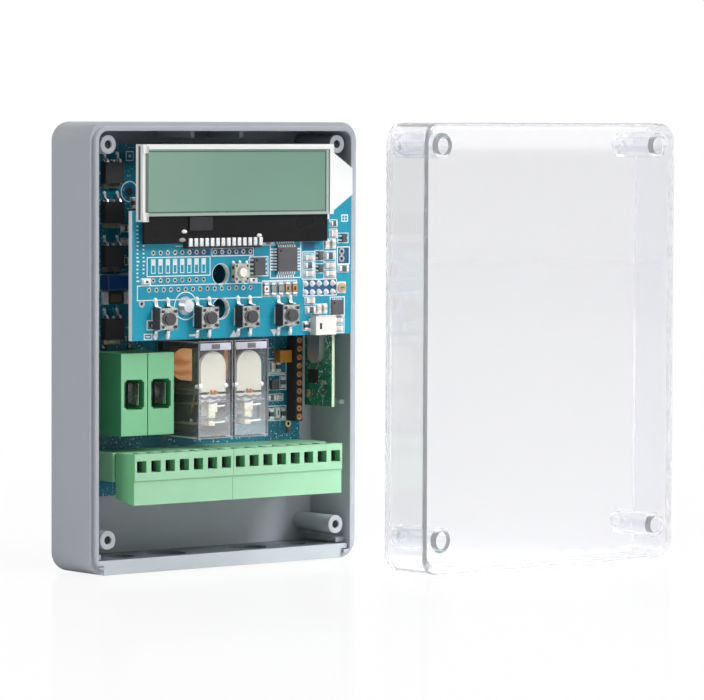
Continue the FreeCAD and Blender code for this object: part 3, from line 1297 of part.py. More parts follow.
def plug(node, first, ways):
    """A screw plug: wire openings in front, screw wells on top, pin slots behind."""
    left = ROW_LEFT + s.terminal_pitch * first
    seam = s.plug_seam / 2
    width = s.terminal_pitch * ways
    top = up(s.plug_top)
    front = BOARD_FRONT - s.header_depth - s.plug_nose
    nose_back = front + s.plug_nose - s.plug_seam
    low = top - s.plug_height
    fit = s.header_fit
    tongue_top = top - s.header_wall - fit
    tongue_low = top - s.header_height + s.header_wall + fit
    tongue_back = nose_back + s.plug_tongue
    step_z = low + s.plug_step
    inset = s.plug_step_depth
    numbers = range(ways)
    side = doc.addObject("Part::Feature", node + "_side")
    rise = s.plug_slope
    corners = ((front + inset, low), (nose_back, low + rise), (nose_back, tongue_low),
               (tongue_back, tongue_low), (tongue_back, tongue_top), (nose_back, tongue_top),
               (nose_back, top), (front, top), (front, step_z), (front + inset, step_z))
    points = [Vector(float(left + seam), float(y), float(z)) for y, z in corners]
    face = Part.Face(Part.makePolygon(points + points[:1]))
    side.Shape = face.extrude(Vector(float(width - s.plug_seam), 0, 0))
    tools, metal = [], []
    hole_top = top - s.wire_hole_drop
    hole_middle = hole_top - s.wire_hole / 2
    well_y = front + s.well_start
    well_low = top - s.well_floor
    pin_z = top - s.header_height / 2
    for number in numbers:
        x = left + s.terminal_pitch * (number + 0.5)
        name = "%s_%d_" % (node, number)
        tools.append(centred(name + "mouth", (x, hole_middle), front - 1.0,
                             (s.wire_hole, s.well_start + 1.5, s.wire_hole)))
        tools.append(block(name + "well", (x - s.well_width / 2, well_y, well_low),
                           (s.well_width, s.well_length, s.well_floor + 1.0)))
        tools.append(centred(name + "slot", (x, pin_z), tongue_back - s.pin_length - 2 * fit,
                             (s.pin_slot, s.pin_length + 2 * fit, s.pin_slot)))
        room = s.cage_fit
        cage = block(name + "cage", (x - s.well_width / 2 + room, well_y + room, well_low + room),
                     (s.well_width - 2 * room, s.well_length - 2 * room,
                      s.well_floor - s.wire_hole_drop + s.cage_metal - 2 * room))
        throat = centred(name + "throat", (x, hole_middle), well_y - 1.0,
                         (s.wire_hole - 2 * s.cage_metal, s.well_length + 2.0,
                          s.wire_hole - s.cage_metal))
        cage_top = well_low + s.well_floor - s.wire_hole_drop + s.cage_metal - room
        screw = rod(name + "screw", (x, well_y + s.well_length / 2, cage_top), s.clamp_screw,
                    top - s.clamp_screw_sink - cage_top, FreeCAD.Rotation())
        notch = block(name + "notch", (x - s.clamp_screw, well_y + s.well_length / 2 - 0.25,
                                       top - s.clamp_screw_sink - 0.5),
                      (2 * s.clamp_screw, 0.5, s.wall))
        metal.append(without(name + "clamp", joined(name + "clamp_whole", [cage, screw]),
                             [throat, notch]))
    subpart(node, without(node, side, tools))
    subpart(node + "_clamps", grouped(node + "_clamps", metal))


def build():
    """Make every sub-part of the control board."""
    base_housing()
    cable_entry_plate()
    cover()
    main_board()
    pins = link_pins()
    display_board(pins)
    display_supports()
    board_link(pins)
    display()
    push_switches()
    display_board_parts()
    main_board_parts()
    receiver()
    power_terminals()
    relay("left", -s.relay_left_x)
    relay("right", -s.relay_left_x + s.relay_pitch)
    terminal_header()
    left_ways = int(s.left_ways.value)
    plug("plug_left", 0, left_ways)
    plug("plug_right", left_ways, int(s.right_ways.value))
    doc.recompute()


def check():
    """Stop with the names of every object that failed."""
    faults = [item.Name + ": " + ", ".join(item.State) for item in doc.Objects
              if "Invalid" in item.State or "Error" in item.State]
    for node, feature in SUBPARTS:
        shape = feature.Shape
        if shape.isNull() or not shape.isValid() or not shape.Solids:
            faults.append(node + ": no valid solid")
    if faults:
        raise SystemExit("failed: " + "; ".join(faults))


def export():
    """Write one file for each sub-part."""
    os.makedirs("parts", exist_ok=True)
    for node, feature in SUBPARTS:
        feature.Shape.exportStep("parts/" + node + ".step")
    volume = sum(feature.Shape.Volume for _, feature in SUBPARTS)
    print("%d sub-parts, %.0f mm3" % (len(SUBPARTS), volume))


build()
check()
export()
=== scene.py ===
"""Dresses the gate motor control board for the view in its photograph.

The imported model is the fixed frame. The classes below, one for each sub-assembly, give its
nodes their finishes and add what rides on them: printed marks, solder, chip leads, windings.
Places are in millimetres, with heights from the base's lower edge; Shape turns them into metres.
"""

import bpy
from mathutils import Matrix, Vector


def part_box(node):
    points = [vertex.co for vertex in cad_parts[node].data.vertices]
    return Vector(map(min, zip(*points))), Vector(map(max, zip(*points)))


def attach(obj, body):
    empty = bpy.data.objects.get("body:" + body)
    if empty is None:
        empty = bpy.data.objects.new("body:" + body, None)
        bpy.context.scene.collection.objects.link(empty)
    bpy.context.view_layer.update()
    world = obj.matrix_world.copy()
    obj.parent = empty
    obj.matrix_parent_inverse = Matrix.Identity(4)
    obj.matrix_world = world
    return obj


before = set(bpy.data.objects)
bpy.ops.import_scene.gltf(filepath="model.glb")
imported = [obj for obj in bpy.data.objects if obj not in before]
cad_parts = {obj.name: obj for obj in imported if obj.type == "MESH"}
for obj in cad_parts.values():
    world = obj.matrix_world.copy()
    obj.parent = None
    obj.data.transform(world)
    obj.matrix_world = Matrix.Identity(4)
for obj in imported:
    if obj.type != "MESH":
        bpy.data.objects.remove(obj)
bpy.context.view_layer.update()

import logging
import math
from collections.abc import Iterable, Sequence
from dataclasses import dataclass, field
from enum import Enum
from itertools import product

import bmesh
import bpy
from bmesh.types import BMVert
from bpy.types import Material, Node, NodeSocket, NodeTree, World
from mathutils import Matrix, Vector

LOG = logging.getLogger("gate_board")
MM = 0.001
BASE_BOTTOM = -63.75
INK_RISE = 0.04
PAD_RISE = 0.06
BIG_PAD = (1.05, 0.5)
DIP_PITCH = 2.54
SHARP_ANGLE = math.radians(35)
ENDS = (-1, 1)
X_WAY, Z_WAY = (1.0, 0.0, 0.0), (0.0, 0.0, 1.0)
BRIGHT = (1.0, 1.0, 1.0, 1.0)

Colour = tuple[float, float, float, float]
Paint = tuple[int, int, int]
Span = tuple[float, float]
Point = tuple[float, float, float]
Row = tuple[float, ...]
Profile = tuple[Span, ...]
Values = dict[str | int, object]
Outputs = bpy.types.bpy_prop_collection


def paint(screen: Paint) -> Colour:
    """Turns an 8-bit screen colour into the linear one that shaders take.

    Args:
        screen: Red, green and blue, each 0 to 255.

    Returns:
        The linear colour, opaque.
    """
    red, green, blue = (c / 255 / 12.92 if c <= 10 else ((c / 255 + 0.055) / 1.055) ** 2.4
                        for c in screen)
    return (red, green, blue, 1.0)


def at(x: float, y: float, z: float) -> Vector:
    """Returns a point of the frame, in metres, from millimetres above the base's lower edge."""
    return Vector((x, y, z + BASE_BOTTOM)) * MM


def about(middle: float, half: float) -> Span:
    """Returns the span that reaches as far on both sides of its middle."""
    return (middle - half, middle + half)


class Body(Enum):
    """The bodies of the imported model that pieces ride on."""

    HOUSING = "housing"
    CABLE_PLATE = "cable_plate"
    ARMATURE_LEFT = "armature_left"
    ARMATURE_RIGHT = "armature_right"


class Slot(Enum):
    """The record's material slots that added pieces belong to."""

    MAIN_BOARD = "main_board"
    DISPLAY_BOARD = "display_board"
    TIN = "tin_metal"
    BLACK = "black_plastic"
    IVORY = "ivory_plastic"
    GOLD = "gold_contact"
    COPPER = "copper_wire"
    CASE = "relay_case"
    GLASS = "lcd_glass"
    GUIDE = "light_guide"
    RESISTOR = "resistor_body"
    ARMATURE = "armature"
    HOUSING = "housing"


class Plane(Enum):
    """Faces that parts stand on, in millimetres along the frame's depth."""

    MAIN_BOARD = -6.0
    SCREEN_BOARD = -25.0
    REAR_GLASS = -27.2
    FRONT_GLASS = -28.2
    RELAY_FRONT = -26.0
    KEY_PLATE = -28.9
    RESET_PLATE = -26.9


class Facing(Enum):
    """Directions that a turned form can face."""

    FRONT = 0
    LEFT = 1
    UP = 2

    def step(self, u: float, v: float, rise: float) -> Point:
        """Returns the step from a form's foot to a point of its turn at some rise."""
        return ((u, -rise, v), (-rise, u, v), (u, v, rise))[self.value]


class Effect(Enum):
    """Node groups that finishes share: the name, the input and the output sockets."""

    GRAIN = ("moulded grain", {"Colour": "Color", "Scale": "Float", "Mottle": "Float"},
             {"Colour": "Color", "Fleck": "Float", "Height": "Float"})
    EDGES = ("softened edges", {"Radius": "Float"}, {"Edge": "Float", "Normal": "Vector"})
    LAMINATE = ("board laminate",
                {"Mask": "Color", "Track": "Color", "Rim": "Color", "Across": "Vector",
                 "Tracks": "Float", "Specks": "Float"},
                {"Colour": "Color", "Face": "Float", "Height": "Float"})
    BRUSHING = ("brushed metal", {"Colour": "Color", "Dull": "Color"},
                {"Colour": "Color", "Streak": "Float", "Height": "Float"})
    BANDS = ("wound bands", {"Wire": "Color", "Gap": "Color", "Scale": "Float"},
             {"Colour": "Color", "Height": "Float"})


class Graph:
    """Adds and joins the nodes of one material or node group."""

    def __init__(self, tree: NodeTree) -> None:
        """Keeps the tree that nodes go into."""
        self.tree = tree

    @classmethod
    def of(cls, owner: Material | World) -> "Graph":
        """Empties the node tree of a material or world.

        Args:
            owner: The material or world.

        Returns:
            The graph of its tree.
        """
        owner.use_nodes = True
        owner.node_tree.nodes.clear()
        return cls(owner.node_tree)

    def add(self, kind: str, **settings: object) -> Node:
        """Adds one node.

        Args:
            kind: The node's type.
            **settings: Properties to set on it.

        Returns:
            The new node.
        """
        node = self.tree.nodes.new(kind)
        for name, value in settings.items():
            setattr(node, name, value)
        return node

    def fill(self, node: Node, values: Values) -> Node:
        """Links a node's inputs to sockets, or sets their values.

        Args:
            node: The node.
            values: Output sockets, numbers, colours or vectors by input.

        Returns:
            The node.
        """
        for name, value in values.items():
            if isinstance(value, NodeSocket):
                self.tree.links.new(value, node.inputs[name])
            else:
                node.inputs[name].default_value = value
        return node

    def sum(self, operation: str, first: object, second: object = 0.0) -> NodeSocket:
        """Returns the result of a Math node."""
        node = self.add("ShaderNodeMath", operation=operation)
        return self.fill(node, {0: first, 1: second}).outputs[0]

    def vector(self, operation: str, first: object, second: object) -> NodeSocket:
        """Returns the number that a Vector Math node gives."""
        node = self.add("ShaderNodeVectorMath", operation=operation)
        return self.fill(node, {0: first, 1: second}).outputs["Value"]

    def mix(self, share: object, first: object, second: object,
            blend: str = "MIX") -> NodeSocket:
        """Returns the result of a colour Mix node."""
        node = self.add("ShaderNodeMix", data_type="RGBA", blend_type=blend)
        return self.fill(node, {0: share, 6: first, 7: second}).outputs[2]

    def blend(self, share: object, first: Node, second: Node) -> Node:
        """Returns a node that mixes two shaders."""
        return self.fill(self.add("ShaderNodeMixShader"),
                         {0: share, 1: first.outputs[0], 2: second.outputs[0]})

    def ramp(self, value: object, low: float, high: float, to_low: float = 0.0,
             to_high: float = 1.0) -> NodeSocket:
        """Returns the result of a Map Range node, which is held at its ends."""
        return self.fill(self.add("ShaderNodeMapRange"),
                         dict(enumerate((value, low, high, to_low, to_high)))).outputs[0]

    def place(self) -> NodeSocket:
        """Returns the coordinates of the object's own space, in metres."""
        return self.add("ShaderNodeTexCoord").outputs["Object"]

    def facing(self, way: object) -> NodeSocket:
        """Returns how far the surface faces a direction of the object's space."""
        return self.vector("DOT_PRODUCT", self.add("ShaderNodeTexCoord").outputs["Normal"], way)

    def noise(self, scale: object, detail: float = 2.0,
              vector: NodeSocket | None = None) -> NodeSocket:
        """Returns the result of a Noise texture, in object space unless a vector is given."""
        node = self.add("ShaderNodeTexNoise")
        return self.fill(node, {"Vector": self.place() if vector is None else vector,
                                "Scale": scale, "Detail": detail}).outputs[0]

    def streaks(self, scale: Point, detail: float = 2.0) -> NodeSocket:
        """Returns noise that is drawn out by a scale for each axis."""
        node = self.fill(self.add("ShaderNodeMapping"), {"Vector": self.place(), "Scale": scale})
        return self.noise(1.0, detail, node.outputs[0])

    def bump(self, height: NodeSocket, distance: float,
             normal: NodeSocket | None = None) -> NodeSocket:
        """Adds a Bump node.

        Args:
            height: The height's socket.
            distance: How far the height reaches, in metres.
            normal: The normal that it starts from, if any.

        Returns:
            The new normal's socket.
        """
        values = {"Height": height, "Distance": distance}
        if normal is not None:
            values["Normal"] = normal
        return self.fill(self.add("ShaderNodeBump"), values).outputs[0]


class Effects:
    """Builds each shared node group once and places it in materials."""

    made: dict[Effect, NodeTree] = {}

    @staticmethod
    def grain(graph: Graph, given: Outputs) -> Values:
        """Gives the fine grain and faint mottling of moulded plastic.

        Args:
            graph: The group's graph.
            given: Its input sockets.

        Returns:
            The values of its output sockets.
        """
        broad = graph.noise(graph.sum("MULTIPLY", given["Scale"], 0.05))
        darker = graph.mix(1.0, given["Colour"], (0.72, 0.74, 0.76, 1.0), "MULTIPLY")
        share = graph.sum("MULTIPLY", graph.ramp(broad, 0.35, 0.75), given["Mottle"])
        return {"Colour": graph.mix(share, given["Colour"], darker),
                "Fleck": graph.ramp(broad, 0.3, 0.7), "Height": graph.noise(given["Scale"], 3.0)}

    @staticmethod
    def edges(graph: Graph, given: Outputs) -> Values:
        """Gives the rounded look of edges, with a mask of them for a painted highlight.

        Args:
            graph: The group's graph.
            given: Its input sockets.

        Returns:
            The values of its output sockets.
        """
        bevel = graph.fill(graph.add("ShaderNodeBevel", samples=4), {"Radius": given["Radius"]})
        true = graph.add("ShaderNodeNewGeometry").outputs["Normal"]
        same = graph.vector("DOT_PRODUCT", bevel.outputs[0], true)
        return {"Edge": graph.ramp(same, 0.97, 0.75), "Normal": bevel.outputs[0]}

    @staticmethod
    def laminate(graph: Graph, given: Outputs) -> Values:
        """Gives a circuit board: solder mask on its faces, faint tracks under it, pale cut edges.

        Args:
            graph: The group's graph.
            given: Its input sockets.

        Returns:
            The values of its output sockets.
        """
        face = graph.ramp(graph.sum("ABSOLUTE", graph.facing(given["Across"])), 0.6, 0.75)
        lines = []
        for scale in ((60.0, 60.0, 620.0), (620.0, 60.0, 60.0)):
            steps = graph.sum("FRACT", graph.sum("MULTIPLY", graph.streaks(scale, 0.0), 6.0))
            away = graph.sum("ABSOLUTE", graph.sum("SUBTRACT", steps, 0.5))
            lines.append(graph.ramp(away, 0.07, 0.11, 1.0, 0.0))
        where = graph.ramp(graph.noise(130.0, 0.0), 0.48, 0.52)
        track = graph.sum("MULTIPLY", graph.mix(where, *lines), given["Tracks"])
        shown = graph.mix(track, given["Mask"], given["Track"])
        shown = graph.mix(graph.ramp(graph.noise(45.0), 0.4, 0.8, 0.0, 0.18), shown,
                          (0.0, 0.01, 0.02, 1.0))
        spots = graph.ramp(graph.noise(1500.0, 1.0), 0.6, 0.66)
        crowd = graph.ramp(graph.noise(160.0, 1.0), 0.44, 0.56)
        spots = graph.sum("MULTIPLY", graph.sum("MULTIPLY", spots, crowd), given["Specks"])
        shown = graph.mix(spots, shown, (0.6, 0.7, 0.7, 1.0))
        return {"Colour": graph.mix(face, given["Rim"], shown), "Face": face,
                "Height": graph.sum("MULTIPLY", track, face)}

    @staticmethod
    def brushing(graph: Graph, given: Outputs) -> Values:
        """Gives the streaks and dull patches of plated metal.

        Args:
            graph: The group's graph.
            given: Its input sockets.

        Returns:
            The values of its output sockets.
        """
        streak = graph.streaks((400.0, 400.0, 4000.0))
        patch = graph.ramp(graph.noise(500.0, 3.0), 0.4, 0.75)
        both = graph.sum("ADD", graph.sum("MULTIPLY", streak, 0.5),
                         graph.sum("MULTIPLY", patch, 0.5))
        return {"Colour": graph.mix(patch, given["Colour"], given["Dull"]), "Streak": both,
                "Height": streak}

    @staticmethod
    def bands(graph: Graph, given: Outputs) -> Values:
        """Gives close bands, such as turns of wire.

        Args:
            graph: The group's graph.
            given: Its input sockets.

        Returns:
            The values of its output sockets.
        """
        wave = graph.fill(graph.add("ShaderNodeTexWave", bands_direction="Y"), {
            "Vector": graph.place(), "Scale": given["Scale"], "Distortion": 0.8})
        height = wave.outputs["Fac"]
        return {"Colour": graph.mix(height, given["Gap"], given["Wire"]), "Height": height}

    @classmethod
    def group(cls, effect: Effect) -> NodeTree:
        """Builds an effect's node group with its named sockets.

        Args:
            effect: The effect.

        Returns:
            The node group.
        """
        name, inputs, outputs = effect.value
        tree = bpy.data.node_groups.new(name, "ShaderNodeTree")
        for side, sockets in (("INPUT", inputs), ("OUTPUT", outputs)):
            for title, kind in sockets.items():
                tree.interface.new_socket(name=title, in_out=side, socket_type="NodeSocket" + kind)
        graph = Graph(tree)
        given = graph.add("NodeGroupInput").outputs
        builders = {Effect.GRAIN: cls.grain, Effect.EDGES: cls.edges, Effect.BANDS: cls.bands,
                    Effect.LAMINATE: cls.laminate, Effect.BRUSHING: cls.brushing}
        graph.fill(graph.add("NodeGroupOutput"), builders[effect](graph, given))
        return tree

    @classmethod
    def use(cls, effect: Effect, graph: Graph, **values: object) -> Outputs:
        """Places a shared group in a material.

        Args:
            effect: The group to place.
            graph: The material's graph.
            **values: Values or sockets for its inputs, by name.

        Returns:
            The output sockets of the group's node.
        """
        if effect not in cls.made:
            cls.made[effect] = cls.group(effect)
        node = graph.add("ShaderNodeGroup", node_tree=cls.made[effect])
        return graph.fill(node, values).outputs


@dataclass(frozen=True)
class Finish:
    """A surface: its name, its screen colour and how rough it is."""

    name: str
    colour: Paint
    roughness: float = 0.5
    gloss: float = field(default=0.5, kw_only=True)

    def material(self) -> Material:
        """Builds the material the first time and returns it.

        Returns:
            The material.
        """
        made = bpy.data.materials.get(self.name)
        if made is not None:
            return made
        made = bpy.data.materials.new(self.name)
        graph = Graph.of(made)
        shader = graph.fill(graph.add("ShaderNodeBsdfPrincipled"), {
            "Roughness": self.roughness, "Specular IOR Level": self.gloss,
            **self.sockets(graph)})
        graph.fill(graph.add("ShaderNodeOutputMaterial"), {
            "Surface": self.surface(graph, shader).outputs[0]})
        return made

    def sockets(self, graph: Graph) -> Values:
        """Returns the values of the shader's sockets; each kind of finish has its own way."""
        return {"Base Color": paint(self.colour)}

    def surface(self, graph: Graph, shader: Node) -> Node:
        """Returns the node that makes the surface, which is the shader unless it is clear."""
        return shader


@dataclass(frozen=True)
class Moulded(Finish):
    """Moulded plastic or ceramic with a fine grain and softened edges with painted highlights."""

    scale: float = 2500.0
    mottle: float = 0.25
    relief: float = 0.00001
    edge: float = 0.0002
    # Share by which the edges are painted paler: a painted highlight.
    painted_edge_highlight: float = 0.25
    # The deep colour is painted shade, given to faces that turn towards the way below.
    deep: Paint | None = None
    shade_way: Point = Z_WAY

    def sockets(self, graph: Graph) -> Values:
        """Gives the sockets' values from the grain and edge groups.

        Args:
            graph: The material's graph.

        Returns:
            The values by socket.
        """
        colour = paint(self.colour)
        grain = Effects.use(Effect.GRAIN, graph, Colour=colour, Scale=self.scale,
                            Mottle=self.mottle)
        edges = Effects.use(Effect.EDGES, graph, Radius=self.edge)
        # Painted highlight: the edges are mixed towards white.
        share = graph.sum("MULTIPLY", edges["Edge"], self.painted_edge_highlight)
        shown = graph.mix(share, grain["Colour"], graph.mix(0.35, colour, BRIGHT))
        # Painted shade: faces that turn towards the given way take the deep colour.
        if self.deep:
            facing = graph.ramp(graph.facing(self.shade_way), 0.8, 0.95)
            shown = graph.mix(facing, shown, paint(self.deep))
        return {"Base Color": shown,
                "Roughness": graph.ramp(grain["Fleck"], 0.0, 1.0, self.roughness - 0.05,
                                        self.roughness + 0.07),
                "Normal": graph.bump(grain["Height"], self.relief, edges["Normal"])}


@dataclass(frozen=True)
class Laminate(Finish):
    """A circuit board's solder mask, tracks and cut edges."""

    track: Paint = (90, 170, 190)
    rim: Paint = (205, 200, 165)
    across: Point = (0.0, 1.0, 0.0)
    tracks: float = 0.5
    specks: float = 0.0

    def sockets(self, graph: Graph) -> Values:
        """Gives the sockets' values from the laminate group.

        Args:
            graph: The material's graph.

        Returns:
            The values by socket.
        """
        board = Effects.use(Effect.LAMINATE, graph, Mask=paint(self.colour),
                            Track=paint(self.track), Rim=paint(self.rim), Across=self.across,
                            Tracks=self.tracks, Specks=self.specks)
        return {"Base Color": board["Colour"],
                "Roughness": graph.ramp(board["Face"], 0.0, 1.0, 0.8, self.roughness),
                "Normal": graph.bump(board["Height"], 0.00003)}


@dataclass(frozen=True)
class Metal(Finish):
    """Plated or bare metal with streaks and dull patches."""

    dull: Paint = (140, 142, 145)
    metallic: float = 1.0
    edge: float = 0.00008

    def sockets(self, graph: Graph) -> Values:
        """Gives the sockets' values from the brushing and edge groups.

        Args:
            graph: The material's graph.

        Returns:
            The values by socket.
        """
        brushed = Effects.use(Effect.BRUSHING, graph, Colour=paint(self.colour),
                              Dull=paint(self.dull))
        edges = Effects.use(Effect.EDGES, graph, Radius=self.edge)
        return {"Base Color": brushed["Colour"], "Metallic": self.metallic,
                "Roughness": graph.ramp(brushed["Streak"], 0.2, 0.8, self.roughness * 0.75,
                                        self.roughness * 1.4),
                "Normal": graph.bump(brushed["Height"], 0.000004, edges["Normal"])}


@dataclass(frozen=True)
class Wound(Finish):
    """A coil of fine enamelled wire, with a painted glow and broad patches of painted shade."""

    gap: Paint = (96, 52, 30)
    scale: float = 1200.0
    # Strength of a painted glow: the coil shines though it is no lamp.
    glow: float = 0.0

    def sockets(self, graph: Graph) -> Values:
        """Gives the sockets' values from the bands group, with patches of painted shade and a
        painted glow.

        Args:
            graph: The material's graph.

        Returns:
            The values by socket.
        """
        gap = paint(self.gap)
        wires = Effects.use(Effect.BANDS, graph, Wire=paint(self.colour), Gap=gap,
                            Scale=self.scale)
        # Painted shade: broad streaky patches mixed towards the dark gap colour.
        shade_patch = graph.ramp(graph.streaks((60.0, 90.0, 420.0)), 0.42, 0.6, 0.0, 0.75)
        shown = graph.mix(shade_patch, wires["Colour"], gap)
        # The emission is a painted glow.
        return {"Base Color": shown, "Emission Color": shown, "Emission Strength": self.glow,
                "Roughness": graph.ramp(wires["Height"], 0.0, 1.0, self.roughness + 0.3,
                                        self.roughness),
                "Normal": graph.bump(wires["Height"], 0.00006)}


@dataclass(frozen=True)
class Clear(Finish):
    """Clear moulded plastic, a little greyer where light runs along its walls."""

    wall: Paint = (240, 241, 243)
    veil: float = 0.1
    shadow: float = 0.88
    bend: float = 1.49
    haze: float = 0.0
    haze_reach: Span = (-0.019, -0.012)

    def sockets(self, graph: Graph) -> Values:
        """Gives the sockets' values of the clear plastic.

        Args:
            graph: The material's graph.

        Returns:
            The values by socket.
        """
        flow = graph.noise(12.0, 0.0)
        return {"Base Color": graph.mix(flow, paint(self.colour), paint(self.wall)),
                "Roughness": graph.ramp(graph.noise(9000.0, 1.0), 0.0, 1.0, self.roughness,
                                        self.roughness + 0.02),
                "Transmission Weight": 1.0, "IOR": self.bend}

    def surface(self, graph: Graph, shader: Node) -> Node:
        """Adds a milky veil, and lets lamps shine through the plastic.

        Args:
            graph: The material's graph.
            shader: Its Principled shader.

        Returns:
            The node that makes the surface.
        """
        frost = graph.fill(graph.add("ShaderNodeBsdfDiffuse"), {"Color": paint((238, 239, 242))})
        milky = graph.blend(self.foot_haze(graph) if self.haze else self.veil, shader, frost)
        passing = graph.fill(graph.add("ShaderNodeBsdfTransparent"),
                             {"Color": (self.shadow,) * 3 + (1.0,)})
        lamps = graph.add("ShaderNodeLightPath").outputs["Is Shadow Ray"]
        return graph.blend(lamps, milky, passing)

    def foot_haze(self, graph: Graph) -> NodeSocket:
        """Adds the milky cast at the foot of a face that looks forward.

        Args:
            graph: The material's graph.

        Returns:
            The share of the milky cast.
        """
        split = graph.fill(graph.add("ShaderNodeSeparateXYZ"), {0: graph.place()})
        foot = graph.ramp(split.outputs["Z"], *self.haze_reach, self.haze, self.veil)
        streak = graph.ramp(graph.streaks((90.0, 90.0, 420.0)), 0.3, 0.7, 0.75, 1.25)
        front = graph.ramp(graph.facing((0.0, -1.0, 0.0)), 0.7, 0.9)
        cast = graph.sum("MULTIPLY", graph.sum("MULTIPLY", foot, streak), front)
        return graph.sum("MAXIMUM", self.veil, cast)


@dataclass(frozen=True)
class ScreenGlass(Finish):
    """The display's front glass over its grey-green polariser, darker towards one side."""

    far: Paint = (104, 141, 123)
    reach: Span = (-0.034, 0.031)

    def sockets(self, graph: Graph) -> Values:
        """Gives the sockets' values from the place along the glass.

        Args:
            graph: The material's graph.

        Returns:
            The values by socket.
        """
        split = graph.fill(graph.add("ShaderNodeSeparateXYZ"), {0: graph.place()})
        along = graph.ramp(split.outputs["X"], *self.reach)
        cloud = graph.ramp(graph.noise(30.0, 1.0), 0.3, 0.7, 0.0, 0.08)
        tone = graph.mix(along, paint(self.colour), paint(self.far))
        return {"Base Color": graph.mix(cloud, tone, paint((150, 180, 168))),
                "Normal": graph.bump(graph.noise(4000.0), 0.000002),
                "Coat Weight": 0.3, "Coat Roughness": 0.08}


HOUSING_GREY = Moulded("housing_grey", (174, 178, 184), 0.42, 1800.0, 0.10, 0.000012, 0.0005, 0.5,
                       gloss=0.25)
# The deep colour is painted shade on the plate's up-facing faces.
PLATE_GREY = Moulded("plate_grey", (184, 190, 196), 0.42, 1800.0, 0.10, 0.000012, 0.0004, 0.4,
                     (112, 118, 127))
# Painted shade for the linings of the knockout recesses.
KNOCKOUT_SHADE = Moulded("knockout_shade_grey", (112, 117, 126), 0.5, 1800.0, 0.1, edge=0.0001)
COVER_CLEAR = Clear("cover_clear", (251, 251, 253), 0.02, (247, 247, 250), 0.085)
CASE_CLEAR = Clear("case_clear", (250, 252, 252), 0.02, (244, 247, 247), 0.03, 0.94, 1.3, 0.17)
MASK_TEAL = Laminate("mask_teal", (28, 150, 176), 0.3, (40, 174, 198), (222, 229, 234),
                     tracks=0.22, gloss=0.3)
MASK_DEEP = Laminate("mask_deep", (16, 110, 134), 0.32, (34, 136, 156), (196, 202, 196),
                     tracks=0.3, specks=0.8, gloss=0.3)
MASK_GREEN = Laminate("mask_green", (14, 118, 84), 0.35, (120, 170, 150), (188, 206, 176), X_WAY,
                      0.3, 1.0)
# The deep colour is painted shade on the plugs' left-facing sides.
PLUG_GREEN = Moulded("plug_green", (154, 204, 166), 0.38, 2200.0, 0.12, edge=0.0003,
                     deep=(112, 186, 132), shade_way=(-1.0, 0.0, 0.0))
HEADER_GREEN = Moulded("header_green", (132, 190, 148), 0.38, 2200.0, 0.12, edge=0.0003)
# The deep colour is painted shade on the terminals' left-facing sides.
POWER_GREEN = Moulded("power_green", (124, 192, 144), 0.36, 2200.0, 0.12, edge=0.0003,
                      deep=(62, 148, 98), shade_way=(-1.0, 0.0, 0.0))
BLACK = Moulded("black_plastic", (30, 30, 32), 0.45, 3500.0, 0.3, 0.000015, 0.0001, 0.35,
                gloss=0.25)
CHIP_BLACK = Moulded("chip_black", (86, 85, 88), 0.5, 5000.0, 0.3, 0.00001, 0.0001, 0.3, gloss=0.3)
DRIVER = Moulded("driver_chip", (52, 51, 54), 0.55, 5000.0, 0.3, 0.00001, 0.0001, 0.2, gloss=0.2)
CHARCOAL = Moulded("key_charcoal", (62, 63, 66), 0.5, 4000.0, 0.2)
IVORY = Moulded("ivory_plastic", (226, 220, 202), 0.4, 3000.0, 0.15, edge=0.00015)
RESET_PALE = Moulded("reset_body", (196, 194, 178), 0.42, 2600.0, 0.4)
PALE_CERAMIC = Moulded("ceramic_pale", (204, 190, 172), 0.45, 6000.0, 0.35, edge=0.0001)
CERAMIC = Moulded("ceramic_beige", (190, 160, 118), 0.45, 6000.0, 0.35, edge=0.0001)
CREAM = Moulded("armature_cream", (206, 200, 187), 0.42, 1500.0, 0.25, edge=0.0003)
SMOKE = Moulded("bobbin_smoke", (48, 45, 43), 0.4, 2500.0, 0.2, gloss=0.2)
# Painted highlight for the relay cases' edges.
CASE_EDGE_HIGHLIGHT = Moulded("relay_edge_highlight", (158, 161, 166), 0.3, 2500.0, 0.2, edge=0.00005)
# Colour of the case strip, also used for painted highlights at the case's edges.
CASE_STRIP_AND_HIGHLIGHT = Moulded("relay_strip_and_highlight", (198, 199, 210), 0.35, 2500.0, 0.3, edge=0.00005)
LABEL_MARK = Moulded("strip_mark", (112, 110, 116), 0.45, 5000.0, 0.5, edge=0.00005)
BLUE_CASE = Moulded("capacitor_blue", (26, 72, 132), 0.3, 900.0, 0.8, edge=0.0006)
ORANGE = Moulded("tantalum_orange", (196, 132, 32), 0.38, 2500.0, 0.3, edge=0.0006)
SLEEVE = Moulded("can_sleeve", (40, 42, 50), 0.3, 1500.0, 0.2, edge=0.0005)
GUIDE = Moulded("light_guide", (208, 211, 212), 0.28, 1200.0, 0.1, 0.000004, 0.0003, 0.3)
LEDGE = Moulded("glass_ledge", (24, 24, 25), 0.3, 800.0, 0.3, 0.000002, 0.0001, 0.2, gloss=0.15)
FRAME_LINE = Moulded("glass_frame", (160, 172, 165), 0.3, 900.0, 0.2, 0.000002, 0.00005, 0.2)
